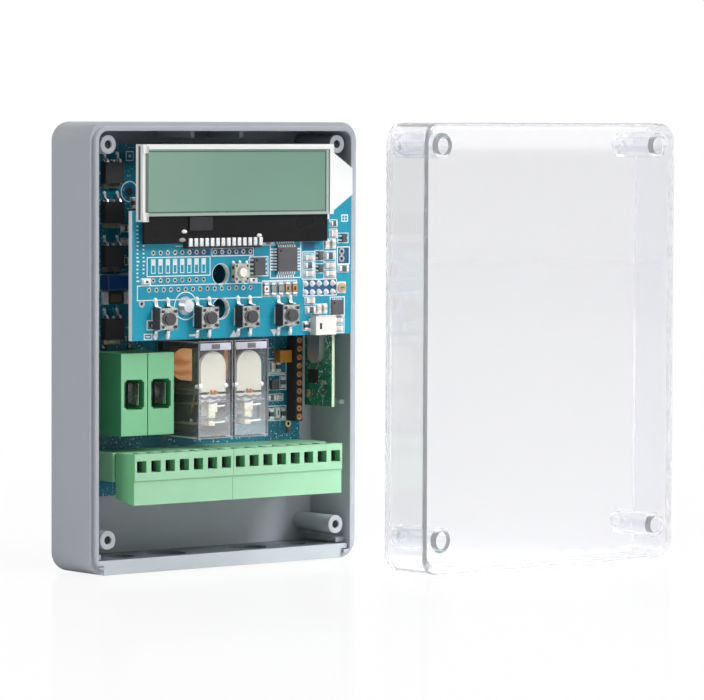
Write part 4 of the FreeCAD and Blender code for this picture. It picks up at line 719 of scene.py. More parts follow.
# Grey of the bar's front line, also used as painted shade on the bar's left face.
BAR_TONE_AND_SHADE = Moulded("bar_tone_and_shade", (96, 98, 96), 0.35, 900.0, 0.4, 0.000004, 0.0001, 0.2)
LINE_DARK = Moulded("glass_line", (70, 84, 78), 0.3, 3000.0, 0.2, 0.000002, 0.00005, 0.0)
WHITE = Moulded("white_plastic", (240, 240, 238), 0.4, 2500.0, 0.06, edge=0.0001)
INK = Moulded("printed_white", (232, 238, 238), 0.6, 7000.0, 0.3, 0.000006, 0.00002, 0.0)
# Painted shade for holes, slots and dimples.
RECESS_SHADE = Moulded("recess_shade", (12, 18, 22), 0.7, 5000.0, 0.3, 0.000006, 0.00002, 0.0)
AMBER = Moulded("amber_trim", (206, 138, 38), 0.35, 3000.0, 0.2, edge=0.0001)
RED = Moulded("lamp_red", (196, 62, 48), 0.25, 3000.0, 0.2, edge=0.0001)
MASK_SHADE = Moulded("mask_shade", (10, 84, 128), 0.35, 900.0, 0.4, 0.000003, 0.00002, 0.0)
GREY_FACE = Moulded("resistor_grey", (148, 146, 142), 0.5, 6000.0, 0.5, edge=0.0001)
OLIVE_FACE = Moulded("shunt_face", (98, 92, 72), 0.5, 6000.0, 0.5, edge=0.0001)
USB_PALE = Moulded("usb_shell", (226, 223, 219), 0.32, 2200.0, 0.25, edge=0.00025)
SCREEN = ScreenGlass("screen_glass", (121, 155, 139), 0.22)
SOLDER = Metal("solder", (240, 242, 244), 0.28, (214, 217, 220), 0.3)
CRYSTAL_CAN = Metal("crystal_can", (248, 251, 250), 0.4, (232, 236, 235), 0.0)
CONTACT_ORANGE = Metal("contact_orange", (240, 178, 116), 0.35, (206, 132, 80), 0.3)
LEAF = Metal("leaf_silver", (112, 112, 124), 0.4, (66, 66, 78), 0.7)
CONTACT_DIM = Metal("contact_dim", (204, 184, 140), 0.35, (160, 138, 92), 0.35)
STEM_GREY = Metal("stem_grey", (96, 98, 102), 0.45, (60, 62, 66), 0.4)
PALE_GOLD = Metal("contact_pale", (244, 234, 206), 0.3, (214, 196, 150), 0.25)
DOME = Metal("dome_screw", (226, 228, 232), 0.25, (172, 175, 180), 0.45)
TAB = Metal("transistor_tab", (176, 168, 148), 0.4, (126, 118, 100), 0.5)
TIN = Metal("bright_tin", (214, 216, 218), 0.28, (168, 171, 174))
NICKEL = Metal("nickel", (200, 200, 196), 0.3, (150, 150, 148))
IRON = Metal("relay_iron", (110, 112, 114), 0.45, (70, 72, 74), 0.5)
GOLD = Metal("gold_contact", (222, 182, 104), 0.28, (176, 134, 66))
COPPER = Metal("copper", (214, 142, 98), 0.3, (160, 92, 58))
DARK_METAL = Metal("clamp_metal", (120, 122, 124), 0.4, (76, 78, 80))
# The coil's glow is painted light.
COIL = Wound("coil_copper", (255, 202, 142), 0.3, (186, 100, 54), glow=0.55)

DRESS: tuple[tuple[Finish, str], ...] = (
    (HOUSING_GREY, "base_housing"), (PLATE_GREY, "cable_entry_plate"), (COVER_CLEAR, "cover"),
    (MASK_DEEP, "main_board"), (MASK_TEAL, "display_board"), (MASK_GREEN, "receiver_board"),
    (NICKEL, "display_standoffs switch_metal"), (DOME, "display_screws"),
    (GOLD, "board_link_pins"), (GUIDE, "lcd_light_guide"), (LEDGE, "lcd_rear_glass"),
    (SCREEN, "lcd_front_glass"), (DRIVER, "lcd_driver_chip receiver_parts"),
    (SOLDER, "lcd_pins"), (RESET_PALE, "reset_switch"), (IVORY, "reset_plunger"),
    (BLACK, "board_link_socket switch_bodies display_resistors power_transistors "
            "shunt_resistor socket_strip"),
    (CHIP_BLACK, "display_chips main_board_chips"), (USB_PALE, "usb_socket"),
    (TIN, "transistor_metal header_pins"), (BLUE_CASE, "blue_capacitor"),
    (ORANGE, "tantalum_capacitor"), (SLEEVE, "smoothing_capacitor"),
    (CONTACT_ORANGE, "socket_contacts"), (CRYSTAL_CAN, "receiver_crystal"),
    (POWER_GREEN, "power_terminal_left power_terminal_right"),
    (HEADER_GREEN, "terminal_header"), (PLUG_GREEN, "plug_left plug_right"),
    (DARK_METAL, "power_terminal_metal plug_left_clamps plug_right_clamps"),
    (CHARCOAL, "key_plunger_1 key_plunger_2 key_plunger_3 key_plunger_4"),
    (CASE_CLEAR, "relay_case_left relay_case_right"),
    (SMOKE, "relay_base_left relay_base_right relay_bobbin_left relay_bobbin_right"),
    (IRON, "relay_yoke_left relay_yoke_right"), (COIL, "relay_coil_left relay_coil_right"),
    (CONTACT_DIM, "relay_contacts_left relay_contacts_right"),
    (CREAM, "relay_armature_left relay_armature_right"))
NODE_FINISHES = {name: finish for finish, names in DRESS for name in names.split()}


def circle(radius: float, sides: int) -> list[Span]:
    """Returns the corners of a regular polygon, as two coordinates each."""
    return [(radius * math.cos(math.tau * i / sides), radius * math.sin(math.tau * i / sides))
            for i in range(sides)]


class Shape:
    """Gathers small solids into one mesh, each face with its own finish."""

    def __init__(self, name: str, *finishes: Finish,
                 face: float = Plane.SCREEN_BOARD.value) -> None:
        """Starts an empty shape.

        Args:
            name: The piece's name.
            *finishes: Its finishes, which the methods name by number.
            face: The depth of the face that its flat forms lie on.
        """
        self.name, self.finishes, self.face = name, finishes, face
        self.mesh = bmesh.new()

    def slab(self, x: Span, y: Span, z: Span, finish: int = 0, round_off: float = 0.0) -> None:
        """Adds a block with rounded edges.

        Args:
            x: Its reach across, in millimetres.
            y: Its reach in depth.
            z: Its reach in height.
            finish: The finish's number.
            round_off: The radius of its edges.
        """
        made: list[BMVert] = bmesh.ops.create_cube(self.mesh, size=1.0)["verts"]
        middle = at(*(sum(span) / 2 for span in (x, y, z)))
        for vert in made:
            vert.co = middle + Vector([c * abs(span[1] - span[0]) * MM
                                       for c, span in zip(vert.co, (x, y, z))])
        for face in {face for vert in made for face in vert.link_faces}:
            face.material_index = finish
        if round_off:
            edges = {edge for vert in made for edge in vert.link_edges}
            bmesh.ops.bevel(self.mesh, geom=list(edges), offset=round_off * MM, segments=2,
                            profile=0.5, affect="EDGES", material=-1)

    def plate(self, x: Span, z: Span, rise: float = INK_RISE, finish: int = 0,
              round_off: float = 0.0, foot: float = 0.0) -> None:
        """Adds a block on the shape's face.

        Args:
            x: Its reach across, in millimetres.
            z: Its reach in height.
            rise: How far it stands up.
            finish: The finish's number.
            round_off: The radius of its edges.
            foot: How far above the face it starts.
        """
        self.slab(x, (self.face - rise, self.face - foot), z, finish, round_off)

    def skin(self, rows: Iterable[Sequence[Point]], finish: int, capped: bool = True) -> None:
        """Joins rows of points into a closed form.

        Args:
            rows: The rows, in millimetres. A row of one point is a tip.
            finish: The finish's number.
            capped: Whether the end rows are filled. They are joined to each other if not.
        """
        loops = [[self.mesh.verts.new(at(*point)) for point in row] for row in rows]
        sides = max(len(loop) for loop in loops)
        for first, second in zip(loops, loops[1:] if capped else loops[1:] + loops[:1]):
            for i in range(sides):
                corners = [loop[k % len(loop)] for loop, k in (
                    (first, i), (first, (i + 1) % sides), (second, (i + 1) % sides), (second, i))]
                self.mesh.faces.new(list(dict.fromkeys(corners))).material_index = finish
        for end in (loops[0], loops[-1]) if capped else ():
            if len(end) > 1:
                self.mesh.faces.new(end).material_index = finish

    def turned(self, middle: Point, profile: Iterable[Span], finish: int = 0, sides: int = 20,
               facing: Facing = Facing.FRONT, squeeze: float = 1.0) -> None:
        """Adds a form turned about a line through its middle.

        Args:
            middle: The point on the face it stands on, in millimetres.
            profile: Pairs of radius and rise, from the outside in.
            finish: The finish's number.
            sides: How many sides each turn has.
            facing: The way it faces.
            squeeze: How much narrower it is upwards than across.
        """
        rows = []
        for radius, rise in profile:
            steps = [facing.step(u, v * squeeze, rise)
                     for u, v in circle(radius, sides if radius else 1)]
            rows.append([tuple(m + s for m, s in zip(middle, step)) for step in steps])
        self.skin(rows, finish)

    def ring(self, middle: Point, outer: float, inner: float, rise: float, finish: int = 0,
             hole: int | None = None, sides: int = 16) -> None:
        """Adds a flat ring that faces forward, with a disc in it if a hole's finish is given.

        Args:
            middle: The point on the face it lies on.
            outer: Its outer radius.
            inner: Its inner radius.
            rise: How far it stands up.
            finish: The finish's number.
            hole: The finish of the disc inside it.
            sides: How many sides it has.
        """
        x, y, z = middle
        rows = [[(x + u, y - up, z + v) for u, v in circle(radius, sides)]
                for radius, up in ((outer, 0.0), (outer, rise), (inner, rise), (inner, 0.0))]
        self.skin(rows, finish, capped=False)
        if hole is not None:
            self.turned(middle, ((inner, 0.0), (inner, rise * 0.5), (0.0, rise * 0.5)), hole,
                        sides)

    def plated_holes(self, spots: Iterable[Span], radii: Span) -> None:
        """Adds rings on the shape's face, each round a dark disc of painted shade that stands for
        its hole.

        Args:
            spots: Their middles, across and up.
            radii: Their outer and inner radius.
        """
        for x, z in spots:
            self.ring((x, self.face, z), *radii, PAD_RISE, 0, 1)

    def outline(self, x: Span, z: Span, width: float = 0.28, finish: int = 0) -> None:
        """Adds a printed rectangle of lines on the shape's face.

        Args:
            x: Its reach across.
            z: Its reach in height.
            width: The lines' width.
            finish: The finish's number.
        """
        rows = []
        for inset, rise in ((0.0, 0.0), (0.0, INK_RISE), (width, INK_RISE), (width, 0.0)):
            left, right, low, high = x[0] + inset, x[1] - inset, z[0] + inset, z[1] - inset
            rows.append([(u, self.face - rise, v) for u, v in (
                (left, low), (right, low), (right, high), (left, high))])
        self.skin(rows, finish, capped=False)

    def strip(self, path: Iterable[Point], across: Point, width: float, thick: float,
              finish: int = 0) -> None:
        """Adds a flat strip bent along a path, such as a chip's lead.

        Args:
            path: The points it follows, in millimetres.
            across: The unit direction of its width.
            width: Its width.
            thick: Its thickness.
            finish: The finish's number.
        """
        points = [Vector(point) for point in path]
        half = Vector(across) * width / 2
        rows = []
        for i, point in enumerate(points):
            along = points[min(i + 1, len(points) - 1)] - points[max(i - 1, 0)]
            up = along.cross(Vector(across)).normalized() * thick / 2
            rows.append([point + step for step in (half + up, up - half, -half - up, half - up)])
        self.skin(rows, finish)

    def wire(self, path: Iterable[Point], radius: float, finish: int = 0, sides: int = 8) -> None:
        """Adds a round wire along a path.

        Args:
            path: The points it follows, in millimetres.
            radius: Its radius.
            finish: The finish's number.
            sides: How many sides it has.
        """
        points = [Vector(point) for point in path]
        rows = []
        for i, point in enumerate(points):
            along = (points[min(i + 1, len(points) - 1)] - points[max(i - 1, 0)]).normalized()
            first = (last - along * last.dot(along) if rows else along.orthogonal()).normalized()
            last, second = first, along.cross(first)
            rows.append([point + (first * u + second * v) * radius
                         for u, v in circle(1.0, sides)])
        self.skin(rows, finish)

    def finish(self, slot: Slot, body: Body = Body.HOUSING) -> None:
        """Turns the shape into a piece that rides on a body.

        Args:
            slot: The record's slot it belongs to; not used.
            body: The body it rides on.
        """
        bmesh.ops.recalc_face_normals(self.mesh, faces=self.mesh.faces)
        for face in self.mesh.faces:
            face.smooth = True
        mesh = bpy.data.meshes.new(self.name)
        self.mesh.to_mesh(mesh)
        self.mesh.free()
        mesh.set_sharp_from_angle(angle=SHARP_ANGLE)
        for finish in self.finishes:
            mesh.materials.append(finish.material())
        piece = bpy.data.objects.new(self.name, mesh)
        bpy.context.scene.collection.objects.link(piece)
        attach(piece, body.value)
        LOG.info("%s: %d faces on %s", self.name, len(mesh.polygons), body.value)


class Small(Enum):
    """Kinds of surface-mounted parts; a two-ended one has the number of its body's finish."""

    BLACK = 0
    CERAMIC = 1
    LAMP = 3
    THREE_LEG = -1


SmallRows = tuple[tuple[Small, tuple[Row, ...]], ...]


@dataclass
class SmallParts:
    """Surface-mounted parts on a face that looks forward: each has a middle and a size."""

    name: str
    face: float
    parts: SmallRows
    margin: float = 0.42
    rise: float = 0.7
    cap: float = 0.24
    over: float = 0.03
    toe: Point = (0.25, 0.1, 0.22)
    leg_rows: tuple[Span, ...] = ((-1, -0.55), (-1, 0.55), (1, 0.0))
    leg_path: Profile = ((0.45, 0.5), (0.75, 0.5), (0.83, 0.1), (1.05, 0.08))
    leg_size: Span = (0.42, 0.14)

    def build(self) -> None:
        """Builds every part, and its printed frame, into one piece."""
        shape = Shape(self.name, CHIP_BLACK, PALE_CERAMIC, SOLDER, WHITE, INK, face=self.face)
        for kind, rows in self.parts:
            for x, z, wide, high in rows:
                half = (wide / 2, high / 2)
                shape.outline(about(x, half[0] + self.margin), about(z, half[1] + self.margin),
                              0.2, 4)
                if kind is Small.THREE_LEG:
                    self.three_leg(shape, (x, z), half)
                else:
                    self.two_ended(shape, kind, (x, z), half)
        shape.finish(Slot.RESISTOR)

    def two_ended(self, shape: Shape, kind: Small, middle: Span, half: Span) -> None:
        """Adds a part with a metal cap and a fillet at each end.

        Args:
            shape: The shape to add to.
            kind: The part's kind.
            middle: Its middle, across and up.
            half: Half its size, across and up.
        """
        (x, z), (half_x, half_z) = middle, half
        shape.plate(about(x, half_x), about(z, half_z), self.rise, kind.value, 0.06)
        if kind is Small.LAMP:
            shape.plate(about(x, half_x * 0.35), about(z, half_z * 0.6), self.rise + self.over, 0,
                        0.05)
        lying = half_x >= half_z
        out, under, toe_rise = self.toe
        long, short = (0, 1) if lying else (1, 0)
        across = about(middle[short], half[short] + self.over)
        for end in ENDS:
            near, far = sorted(middle[long] + end * half[long] * share
                               for share in (1, 1 - 2 * self.cap))
            cap = (near - self.over, far + self.over)
            toe = ((cap[0] - out, cap[0] + under) if end < 0
                   else (cap[1] - under, cap[1] + out))
            for span, rise in ((cap, self.rise + self.over), (toe, toe_rise)):
                spans = (span, across) if lying else (across, span)
                shape.plate(*spans, rise, 2, 0.08)

    def three_leg(self, shape: Shape, middle: Span, half: Span) -> None:
        """Adds a small transistor with legs to the left and right.

        Args:
            shape: The shape to add to.
            middle: Its middle, across and up.
            half: Half its size, across and up.
        """
        (x, z), (half_x, half_z) = middle, half
        shape.plate(about(x, half_x * 0.5), about(z, half_z), self.rise + 0.3, 0, 0.1, 0.08)
        for side, row in self.leg_rows:
            path = [(x + side * half_x * out, self.face - up, z + row * half_z)
                    for out, up in self.leg_path]
            shape.strip(path, Z_WAY, *self.leg_size, 2)


@dataclass
class Studio:
    """The plain white studio: camera, floor, lamps and surroundings."""

    camera_place: Point = (-0.77006, -1.02199, 0.06576)
    lens: float = 225.7
    sensor: float = 36.0
    yaw: float = 39.188
    pitch: float = 3.043
    roll: float = 0.218
    fill: float = 0.135
    floor_reach: float = 12.0
    floor_height: float = BASE_BOTTOM * MM - 0.0002
    lamps: tuple[tuple[str, Point, float, float], ...] = (
        ("key", (0.9, -1.25, 1.1), 0.6, 25.0), ("left", (-1.5, 0.15, 0.5), 0.8, 7.5),
        ("top", (-0.1, -0.5, 1.5), 0.5, 7.5))

    def build(self) -> None:
        """Builds the whole studio."""
        self.camera()
        self.floor()
        self.surroundings()
        for name, place, size, power in self.lamps:
            self.lamp(name, place, size, power)
        bpy.context.scene.view_settings.view_transform = "Standard"

    def camera(self) -> None:
        """Sets up the photograph's camera."""
        yaw, pitch, roll = (math.radians(a) for a in (self.yaw, self.pitch, self.roll))
        level = Matrix(((math.cos(yaw), -math.sin(yaw), 0), (0, 0, -1),
                        (math.sin(yaw), math.cos(yaw), 0)))
        tilt = Matrix(((1, 0, 0), (0, math.cos(pitch), -math.sin(pitch)),
                       (0, math.sin(pitch), math.cos(pitch))))
        lean = Matrix(((math.cos(roll), -math.sin(roll), 0),
                       (math.sin(roll), math.cos(roll), 0), (0, 0, 1)))
        right, down, forward = lean @ tilt @ level
        turn = Matrix((right, -down, -forward)).transposed().to_4x4()
        data = bpy.data.cameras.new("photo_camera")
        data.lens, data.sensor_width = self.lens, self.sensor
        data.clip_start, data.clip_end = 0.01, 50.0
        camera = bpy.data.objects.new("photo_camera", data)
        camera.matrix_world = Matrix.Translation(self.camera_place) @ turn
        bpy.context.scene.collection.objects.link(camera)
        bpy.context.scene.camera = camera

    def floor(self) -> None:
        """Lays a pale floor that keeps a soft shadow and fades to white."""
        mesh = bpy.data.meshes.new("studio_floor")
        reach, low = self.floor_reach, self.floor_height
        corners = ((-reach, -reach), (reach, -reach), (reach, reach), (-reach, reach))
        mesh.from_pydata([(x, y, low) for x, y in corners], [], [(0, 1, 2, 3)])
        floor = bpy.data.objects.new("studio_floor", mesh)
        bpy.context.scene.collection.objects.link(floor)
        made = bpy.data.materials.new("studio_white")
        graph = Graph.of(made)
        grain = Effects.use(Effect.GRAIN, graph, Colour=paint((243, 243, 244)), Scale=900.0,
                            Mottle=0.02)
        paper = graph.fill(graph.add("ShaderNodeBsdfPrincipled"), {
            "Base Color": grain["Colour"], "Roughness": 0.09, "Specular IOR Level": 0.4})
        glow = graph.fill(graph.add("ShaderNodeEmission"), {"Color": BRIGHT})
        away = graph.vector("DISTANCE", graph.place(), (0.03, -0.03, low))
        seen = graph.sum("MULTIPLY", graph.ramp(away, 0.12, 0.42, 0.88, 1.0),
                         graph.add("ShaderNodeLightPath").outputs["Is Camera Ray"])
        graph.fill(graph.add("ShaderNodeOutputMaterial"), {
            "Surface": graph.blend(seen, paper, glow).outputs[0]})
        mesh.materials.append(made)

    def surroundings(self) -> None:
        """Makes the world white to the eye and in gloss, and dimmer as light."""
        world = bpy.data.worlds.new("studio_world")
        bpy.context.scene.world = world
        graph = Graph.of(world)
        rays = graph.add("ShaderNodeLightPath").outputs
        seen = graph.sum("MAXIMUM", rays["Is Camera Ray"], graph.sum(
            "MAXIMUM", rays["Is Glossy Ray"], rays["Is Transmission Ray"]))
        shown = graph.fill(graph.add("ShaderNodeBackground"), {
            "Color": BRIGHT, "Strength": graph.ramp(seen, 0.0, 1.0, self.fill, 1.0)})
        graph.fill(graph.add("ShaderNodeOutputWorld"), {"Surface": shown.outputs[0]})

    def lamp(self, name: str, place: Point, size: float, power: float) -> None:
        """Hangs one soft lamp that points at the frame's origin.

        Args:
            name: The lamp's name.
            place: Where it hangs, in metres.
            size: The side of its square, in metres.
            power: Its power in watts.
        """
        data = bpy.data.lights.new(name, "AREA")
        data.shape, data.size, data.energy = "SQUARE", size, power
        lamp = bpy.data.objects.new(name, data)
        lamp.location = place
        lamp.rotation_euler = (-Vector(place)).to_track_quat("-Z", "Y").to_euler()
        bpy.context.scene.collection.objects.link(lamp)


@dataclass
class DisplayBoard:
    """The upper board: printed marks, pads, chip leads and small parts."""

    face: float = Plane.SCREEN_BOARD.value
    dip_first: float = -29.5
    dip_ways: int = 8
    processor: Span = (17.7, 88.1)
    processor_half: float = 3.5
    processor_leads: int = 8
    memory: Span = (7.6, 86.2)
    memory_half: float = 1.95
    regulator: Span = (36.8, 73.8)
    regulator_half: float = 2.1
    link: Span = (30.3, 79.6)
    link_joint: Profile = (
        (0.95, 0.0), (0.9, 0.1), (0.6, 0.45), (0.42, 0.95), (0.0, 1.1))
    small_pad: Span = (0.72, 0.36)
    chip_dot: Profile = ((0.42, 0.0), (0.38, 0.02), (0.0, 0.02))
    gull_steps: Row = (-0.15, 0.3, 0.5, 1.0)
    gull_foot: float = 0.08
    trimmer_place: Span = (38.3, 79.5)
    trimmer_body: Profile = ((1.5, 0.0), (1.45, 0.35), (1.2, 0.45), (0.0, 0.45))
    trimmer_turn: Profile = ((0.8, 0.0), (0.76, 0.1), (0.0, 0.12))
    blobs: tuple[tuple[Point, Profile, int, float], ...] = (
        ((-20.3, 0.0, 96.6), ((0.95, 0.0), (0.85, 0.25), (0.5, 0.45), (0.0, 0.5)), 2, 0.6),
        ((6.2, -0.45, 95.2), ((0.9, 0.0), (0.8, 0.2), (0.4, 0.35), (0.0, 0.4)), 2, 0.6),
        ((-21.0, 0.0, 94.2), ((1.2, 0.0), (1.1, 0.2), (0.5, 0.4), (0.0, 0.45)), 3, 0.5))
    scale_x: Span = (-35.35, -33.2)
    scale_z: float = 82.6
    ticks: int = 15
    tick_pitch: float = 1.1
    tick_width: float = 0.42
    boxes: tuple[Row, ...] = (
        (-31.8, 83.9, -9.3, 89.5), (-8.9, 89.3, 6.3, 91.8), (-35.2, 77.2, 9.4, 81.6),
        (-31.8, 68.9, -28.9, 71.8), (4.6, 83.3, 11.6, 89.1), (12.2, 82.6, 23.6, 93.4),
        (23.9, 82.1, 28.9, 90.2), (31.9, 82.1, 36.6, 90.3), (37.0, 86.2, 41.7, 91.4),
        (9.3, 77.4, 22.1, 82.1), (34.3, 71.3, 39.9, 76.9), (34.9, 66.2, 39.8, 71.2),
        (-33.9, 81.9, -30.3, 83.4), (24.3, 77.2, 36.9, 82.2))
    lines: tuple[Row, ...] = (
        (39.65, 99.0, 39.85, 100.3), (38.9, 99.55, 40.6, 99.75), (-21.7, 92.3, 4.9, 92.55),
        (7.4, 92.1, 14.2, 92.35))
    grounds: tuple[Row, ...] = (
        (-8.6, 89.6, 6.0, 91.5), (37.3, 86.5, 41.4, 91.1), (24.6, 77.5, 36.6, 81.9),
        (-16.4, 89.7, -9.6, 91.4), (24.2, 90.6, 28.6, 92.9))
    circles: tuple[Row, ...] = (
        (-18.1, 75.5, 4.05, 3.78, 40), (-5.6, 84.2, 3.12, 2.94, 36),
        (-5.6, 74.4, 3.12, 2.94, 36))
    chip_dots: tuple[Point, ...] = ((15.2, -26.4, 90.6), (6.4, -26.4, 88.0),
                                    (35.5, -25.7, 75.1))
    upright_place: Span = (10.6, 79.7)
    upright_pitch: float = 2.6
    lamp_faces: tuple[Row, ...] = (
        (0.77, 78.75, 80.65, 0.68, 1, 0.08, 0.1), (0.4, 79.3, 80.1, 0.72, 2, 0.08, 0.2))
    grey_faces: tuple[Row, ...] = ((0.76, 78.75, 80.65, 0.68, 4, 0.05, 0.2),)
    gold_faces: tuple[Row, ...] = (
        (0.76, 78.75, 80.65, 0.67, 3, 0.05, 0.2), (0.35, 79.1, 80.3, 0.72, 5, 0.05, 0.2))
    clips_first: float = -18.2
    clips_pitch: float = 1.93
    clips_count: int = 14
    big_pads: tuple[Span, ...] = ((-33.5, 76.4), (38.7, 90.0), (38.7, 87.9), (-30.35, 70.35))
    small: SmallRows = (
        (Small.CERAMIC, (
            (26.4, 88.5, 3.0, 1.4), (26.4, 83.8, 3.0, 1.5), (32.9, 92.3, 1.4, 2.2),
            (35.4, 92.3, 1.4, 2.2), (34.1, 86.0, 3.2, 1.4), (34.1, 83.7, 3.2, 1.4),
            (35.5, 95.3, 2.2, 1.9), (26.8, 75.9, 3.0, 1.4), (30.0, 73.5, 1.3, 2.1),
            (32.2, 73.5, 1.3, 2.1), (37.2, 70.0, 3.0, 1.4), (37.2, 67.6, 3.0, 1.4))),
        (Small.BLACK, (
            (26.4, 86.2, 3.0, 1.5), (34.1, 88.8, 3.1, 1.7), (39.2, 85.0, 3.3, 1.5),
            (35.5, 98.2, 2.2, 1.4), (27.0, 73.2, 3.0, 1.5), (25.3, 68.6, 1.3, 2.0))),
        (Small.THREE_LEG, (
            (30.3, 88.9, 2.9, 2.3), (30.3, 85.2, 2.9, 2.1), (39.1, 93.9, 3.3, 2.2))),
        (Small.LAMP, ((5.8, 82.3, 2.6, 1.3), (-32.1, 82.6, 2.6, 1.2))))

    def build(self) -> None:
        """Builds the marks, pads, leads and small parts."""
        self.marks()
        self.key_signs()
        self.pads()
        self.leads()
        SmallParts("display_small_parts", self.face, self.small).build()
        self.row_ends()
        self.trimmer()
        self.clips()
        self.usb_details()

    def marks(self) -> None:
        """Prints the outlines, without any lettering, and the shades of the ground."""
        shape = Shape("display_marks", INK)
        for x0, z0, x1, z1 in self.boxes:
            shape.outline((x0, x1), (z0, z1))
        for way in range(self.dip_ways):
            x = self.dip_first + DIP_PITCH * way
            shape.outline(about(x, 0.75), (84.8, 88.9), 0.22)
            shape.plate(about(x, 0.6), (87.1, 88.8))
        shape.outline((38.5, 41.0), (98.6, 100.7), 0.3)
        for x0, z0, x1, z1 in self.lines:
            shape.plate((x0, x1), (z0, z1))
        for x, z, outer, inner, sides in self.circles:
            shape.ring((x, self.face, z), outer, inner, INK_RISE, sides=sides)
        for way, side in product(range(Keys.count), ENDS):
            shape.plate(about(Keys.first + Keys.pitch * way + side * 3.35, 0.13), (69.6, 74.6))
        shape.finish(Slot.DISPLAY_BOARD)
        shade = Shape("display_ground", MASK_SHADE)
        for x0, z0, x1, z1 in self.grounds:
            shade.plate((x0, x1), (z0, z1), 0.02)
        shade.finish(Slot.DISPLAY_BOARD)

    def key_signs(self) -> None:
        """Prints plain signs by the keys and a bare scale along the board's left edge."""
        shape = Shape("key_signs", INK)
        first, second, third, fourth = (-30.2 + Keys.pitch * way for way in range(Keys.count))
        shape.outline((first - 2.6, first + 0.4), (66.2, 68.0), 0.3)
        shape.plate((first - 1.9, first - 0.3), (66.9, 67.3))
        shape.plate((second - 1.2, second + 1.4), (66.8, 67.4))
        for (middle, turn), row in product(((third, 1), (fourth, -1)), range(5)):
            shape.plate(about(middle, 1.25 - 0.25 * row),
                        about(67.1 + turn * (0.36 * row - 0.72), 0.18))
        outer, inner = self.scale_x
        for tick in range(self.ticks):
            z = self.scale_z + self.tick_pitch * tick
            reach = 0.62 if tick % 5 else 1.0
            shape.plate((outer, outer + reach), (z, z + self.tick_width))
            if 1 < tick < self.ticks - 2:
                shape.plate((inner, inner + reach * 0.9), (z, z + self.tick_width))
        shape.finish(Slot.DISPLAY_BOARD)

    def pads(self) -> None:
        """Adds the tinned rings round plated holes and the solder domes of the link."""
        shape = Shape("display_pads", NICKEL, RECESS_SHADE, SOLDER)
        spots = [(self.dip_first + DIP_PITCH * i, z) for i in range(self.dip_ways)
                 for z in (90.65, 82.85)]
        spots += [(-7.65 + DIP_PITCH * i, 90.55) for i in range(6)]
        spots += [(-31.0 + 2.58 * i, 80.2) for i in range(15)]
        shape.plated_holes(spots, self.small_pad)
        shape.plated_holes(self.big_pads, BIG_PAD)
        for column, row in product(range(-2, 3), ENDS):
            shape.turned((self.link[0] + column * DIP_PITCH, self.face,
                          self.link[1] + row * DIP_PITCH / 2), self.link_joint, 2, 14)
        shape.finish(Slot.TIN)

    def leads(self) -> None:
        """Adds the bent leads of the processor, the memory and the regulator."""
        shape = Shape("display_chip_leads", SOLDER, RECESS_SHADE)
        edge = self.processor_half - 0.55
        pitch = 2 * edge / (self.processor_leads - 1)
        steps = [pitch * lead - edge for lead in range(self.processor_leads)]
        self.four_rows(shape, self.processor, self.processor_half, steps, (0.42, 2.1, 0.75))
        for lead, side in product(range(4), ENDS):
            self.gull(shape, (self.memory[0] + side * self.memory_half,
                              self.memory[1] - 1.9 + 1.27 * lead), (side, 0), (0.6, 1.4, 0.75))
        steps = [0.75 * lead - 1.5 for lead in range(5)]
        self.four_rows(shape, self.regulator, self.regulator_half, steps, (0.32, 0.45, 0.3))
        # Painted shade: each chip's pin-one dimple is a dark disc.
        for place in self.chip_dots:
            shape.turned(place, self.chip_dot, 1, 14)
        shape.finish(Slot.TIN)

    def four_rows(self, shape: Shape, middle: Span, half: float, steps: Iterable[float],
                  size: Point) -> None:
        """Adds a row of leads on each side of a square chip.

        Args:
            shape: The shape to add to.
            middle: The chip's middle, across and up.
            half: Half the chip's side.
            steps: Where the leads are along a side, from its middle.
            size: The width, reach and rise of a lead.
        """
        x, z = middle
        for step, side in product(steps, ENDS):
            self.gull(shape, (x + side * half, z + step), (side, 0), size)
            self.gull(shape, (x + step, z + side * half), (0, side), size)

    def gull(self, shape: Shape, start: Span, away: tuple[int, int], size: Point) -> None:
        """Adds one lead that steps down from a chip to the board.

        Args:
            shape: The shape to add to.
            start: Where it leaves the chip, across and up.
            away: The direction it points in.
            size: Its width, how far it goes and how high above the board it starts.
        """
        width, reach, rise = size
        path = [(start[0] + away[0] * out * reach, self.face - up,
                 start[1] + away[1] * out * reach)
                for out, up in zip(self.gull_steps, (rise, rise) + (self.gull_foot,) * 2)]
        shape.strip(path, (abs(away[1]), 0.0, abs(away[0])), width, 0.12)

    def row_ends(self) -> None:
        """Caps the row of five upright parts: one lamp, two grey ones and two with gold."""
        shape = Shape("display_row_ends", SOLDER, WHITE, RED, AMBER, GREY_FACE, BLACK, INK)
        first, middle = self.upright_place
        for place, faces in enumerate((self.lamp_faces, self.grey_faces, self.grey_faces,
                                       self.gold_faces, self.gold_faces)):
            x = first + self.upright_pitch * place
            for end in ENDS:
                shape.plate(about(x, 0.79), about(middle + end * 1.45, 0.34), 0.66, 0, 0.08)
            for half, low, high, *rest in faces:
                shape.plate(about(x, half), (low, high), *rest)
            shape.outline(about(x, 1.15), (77.55, 81.85), 0.2, 6)
        shape.finish(Slot.RESISTOR)

    def trimmer(self) -> None:
        """Adds the round amber trimmer with its slotted turn."""
        shape = Shape("display_trimmer", SOLDER, CERAMIC, RECESS_SHADE, TAB)
        x, z = self.trimmer_place
        shape.plate(about(x, 1.7), about(z, 1.7), 0.5, 0, 0.2)
        shape.turned((x, self.face - 0.5, z), self.trimmer_body, 1, 24)
        shape.turned((x, self.face - 0.95, z), self.trimmer_turn, 3, 18)
        # Painted shade: a dark bar in the turn's slot.
        shape.plate(about(x, 0.6), about(z, 0.12), 1.1, 2, foot=1.0)
        shape.finish(Slot.IVORY)

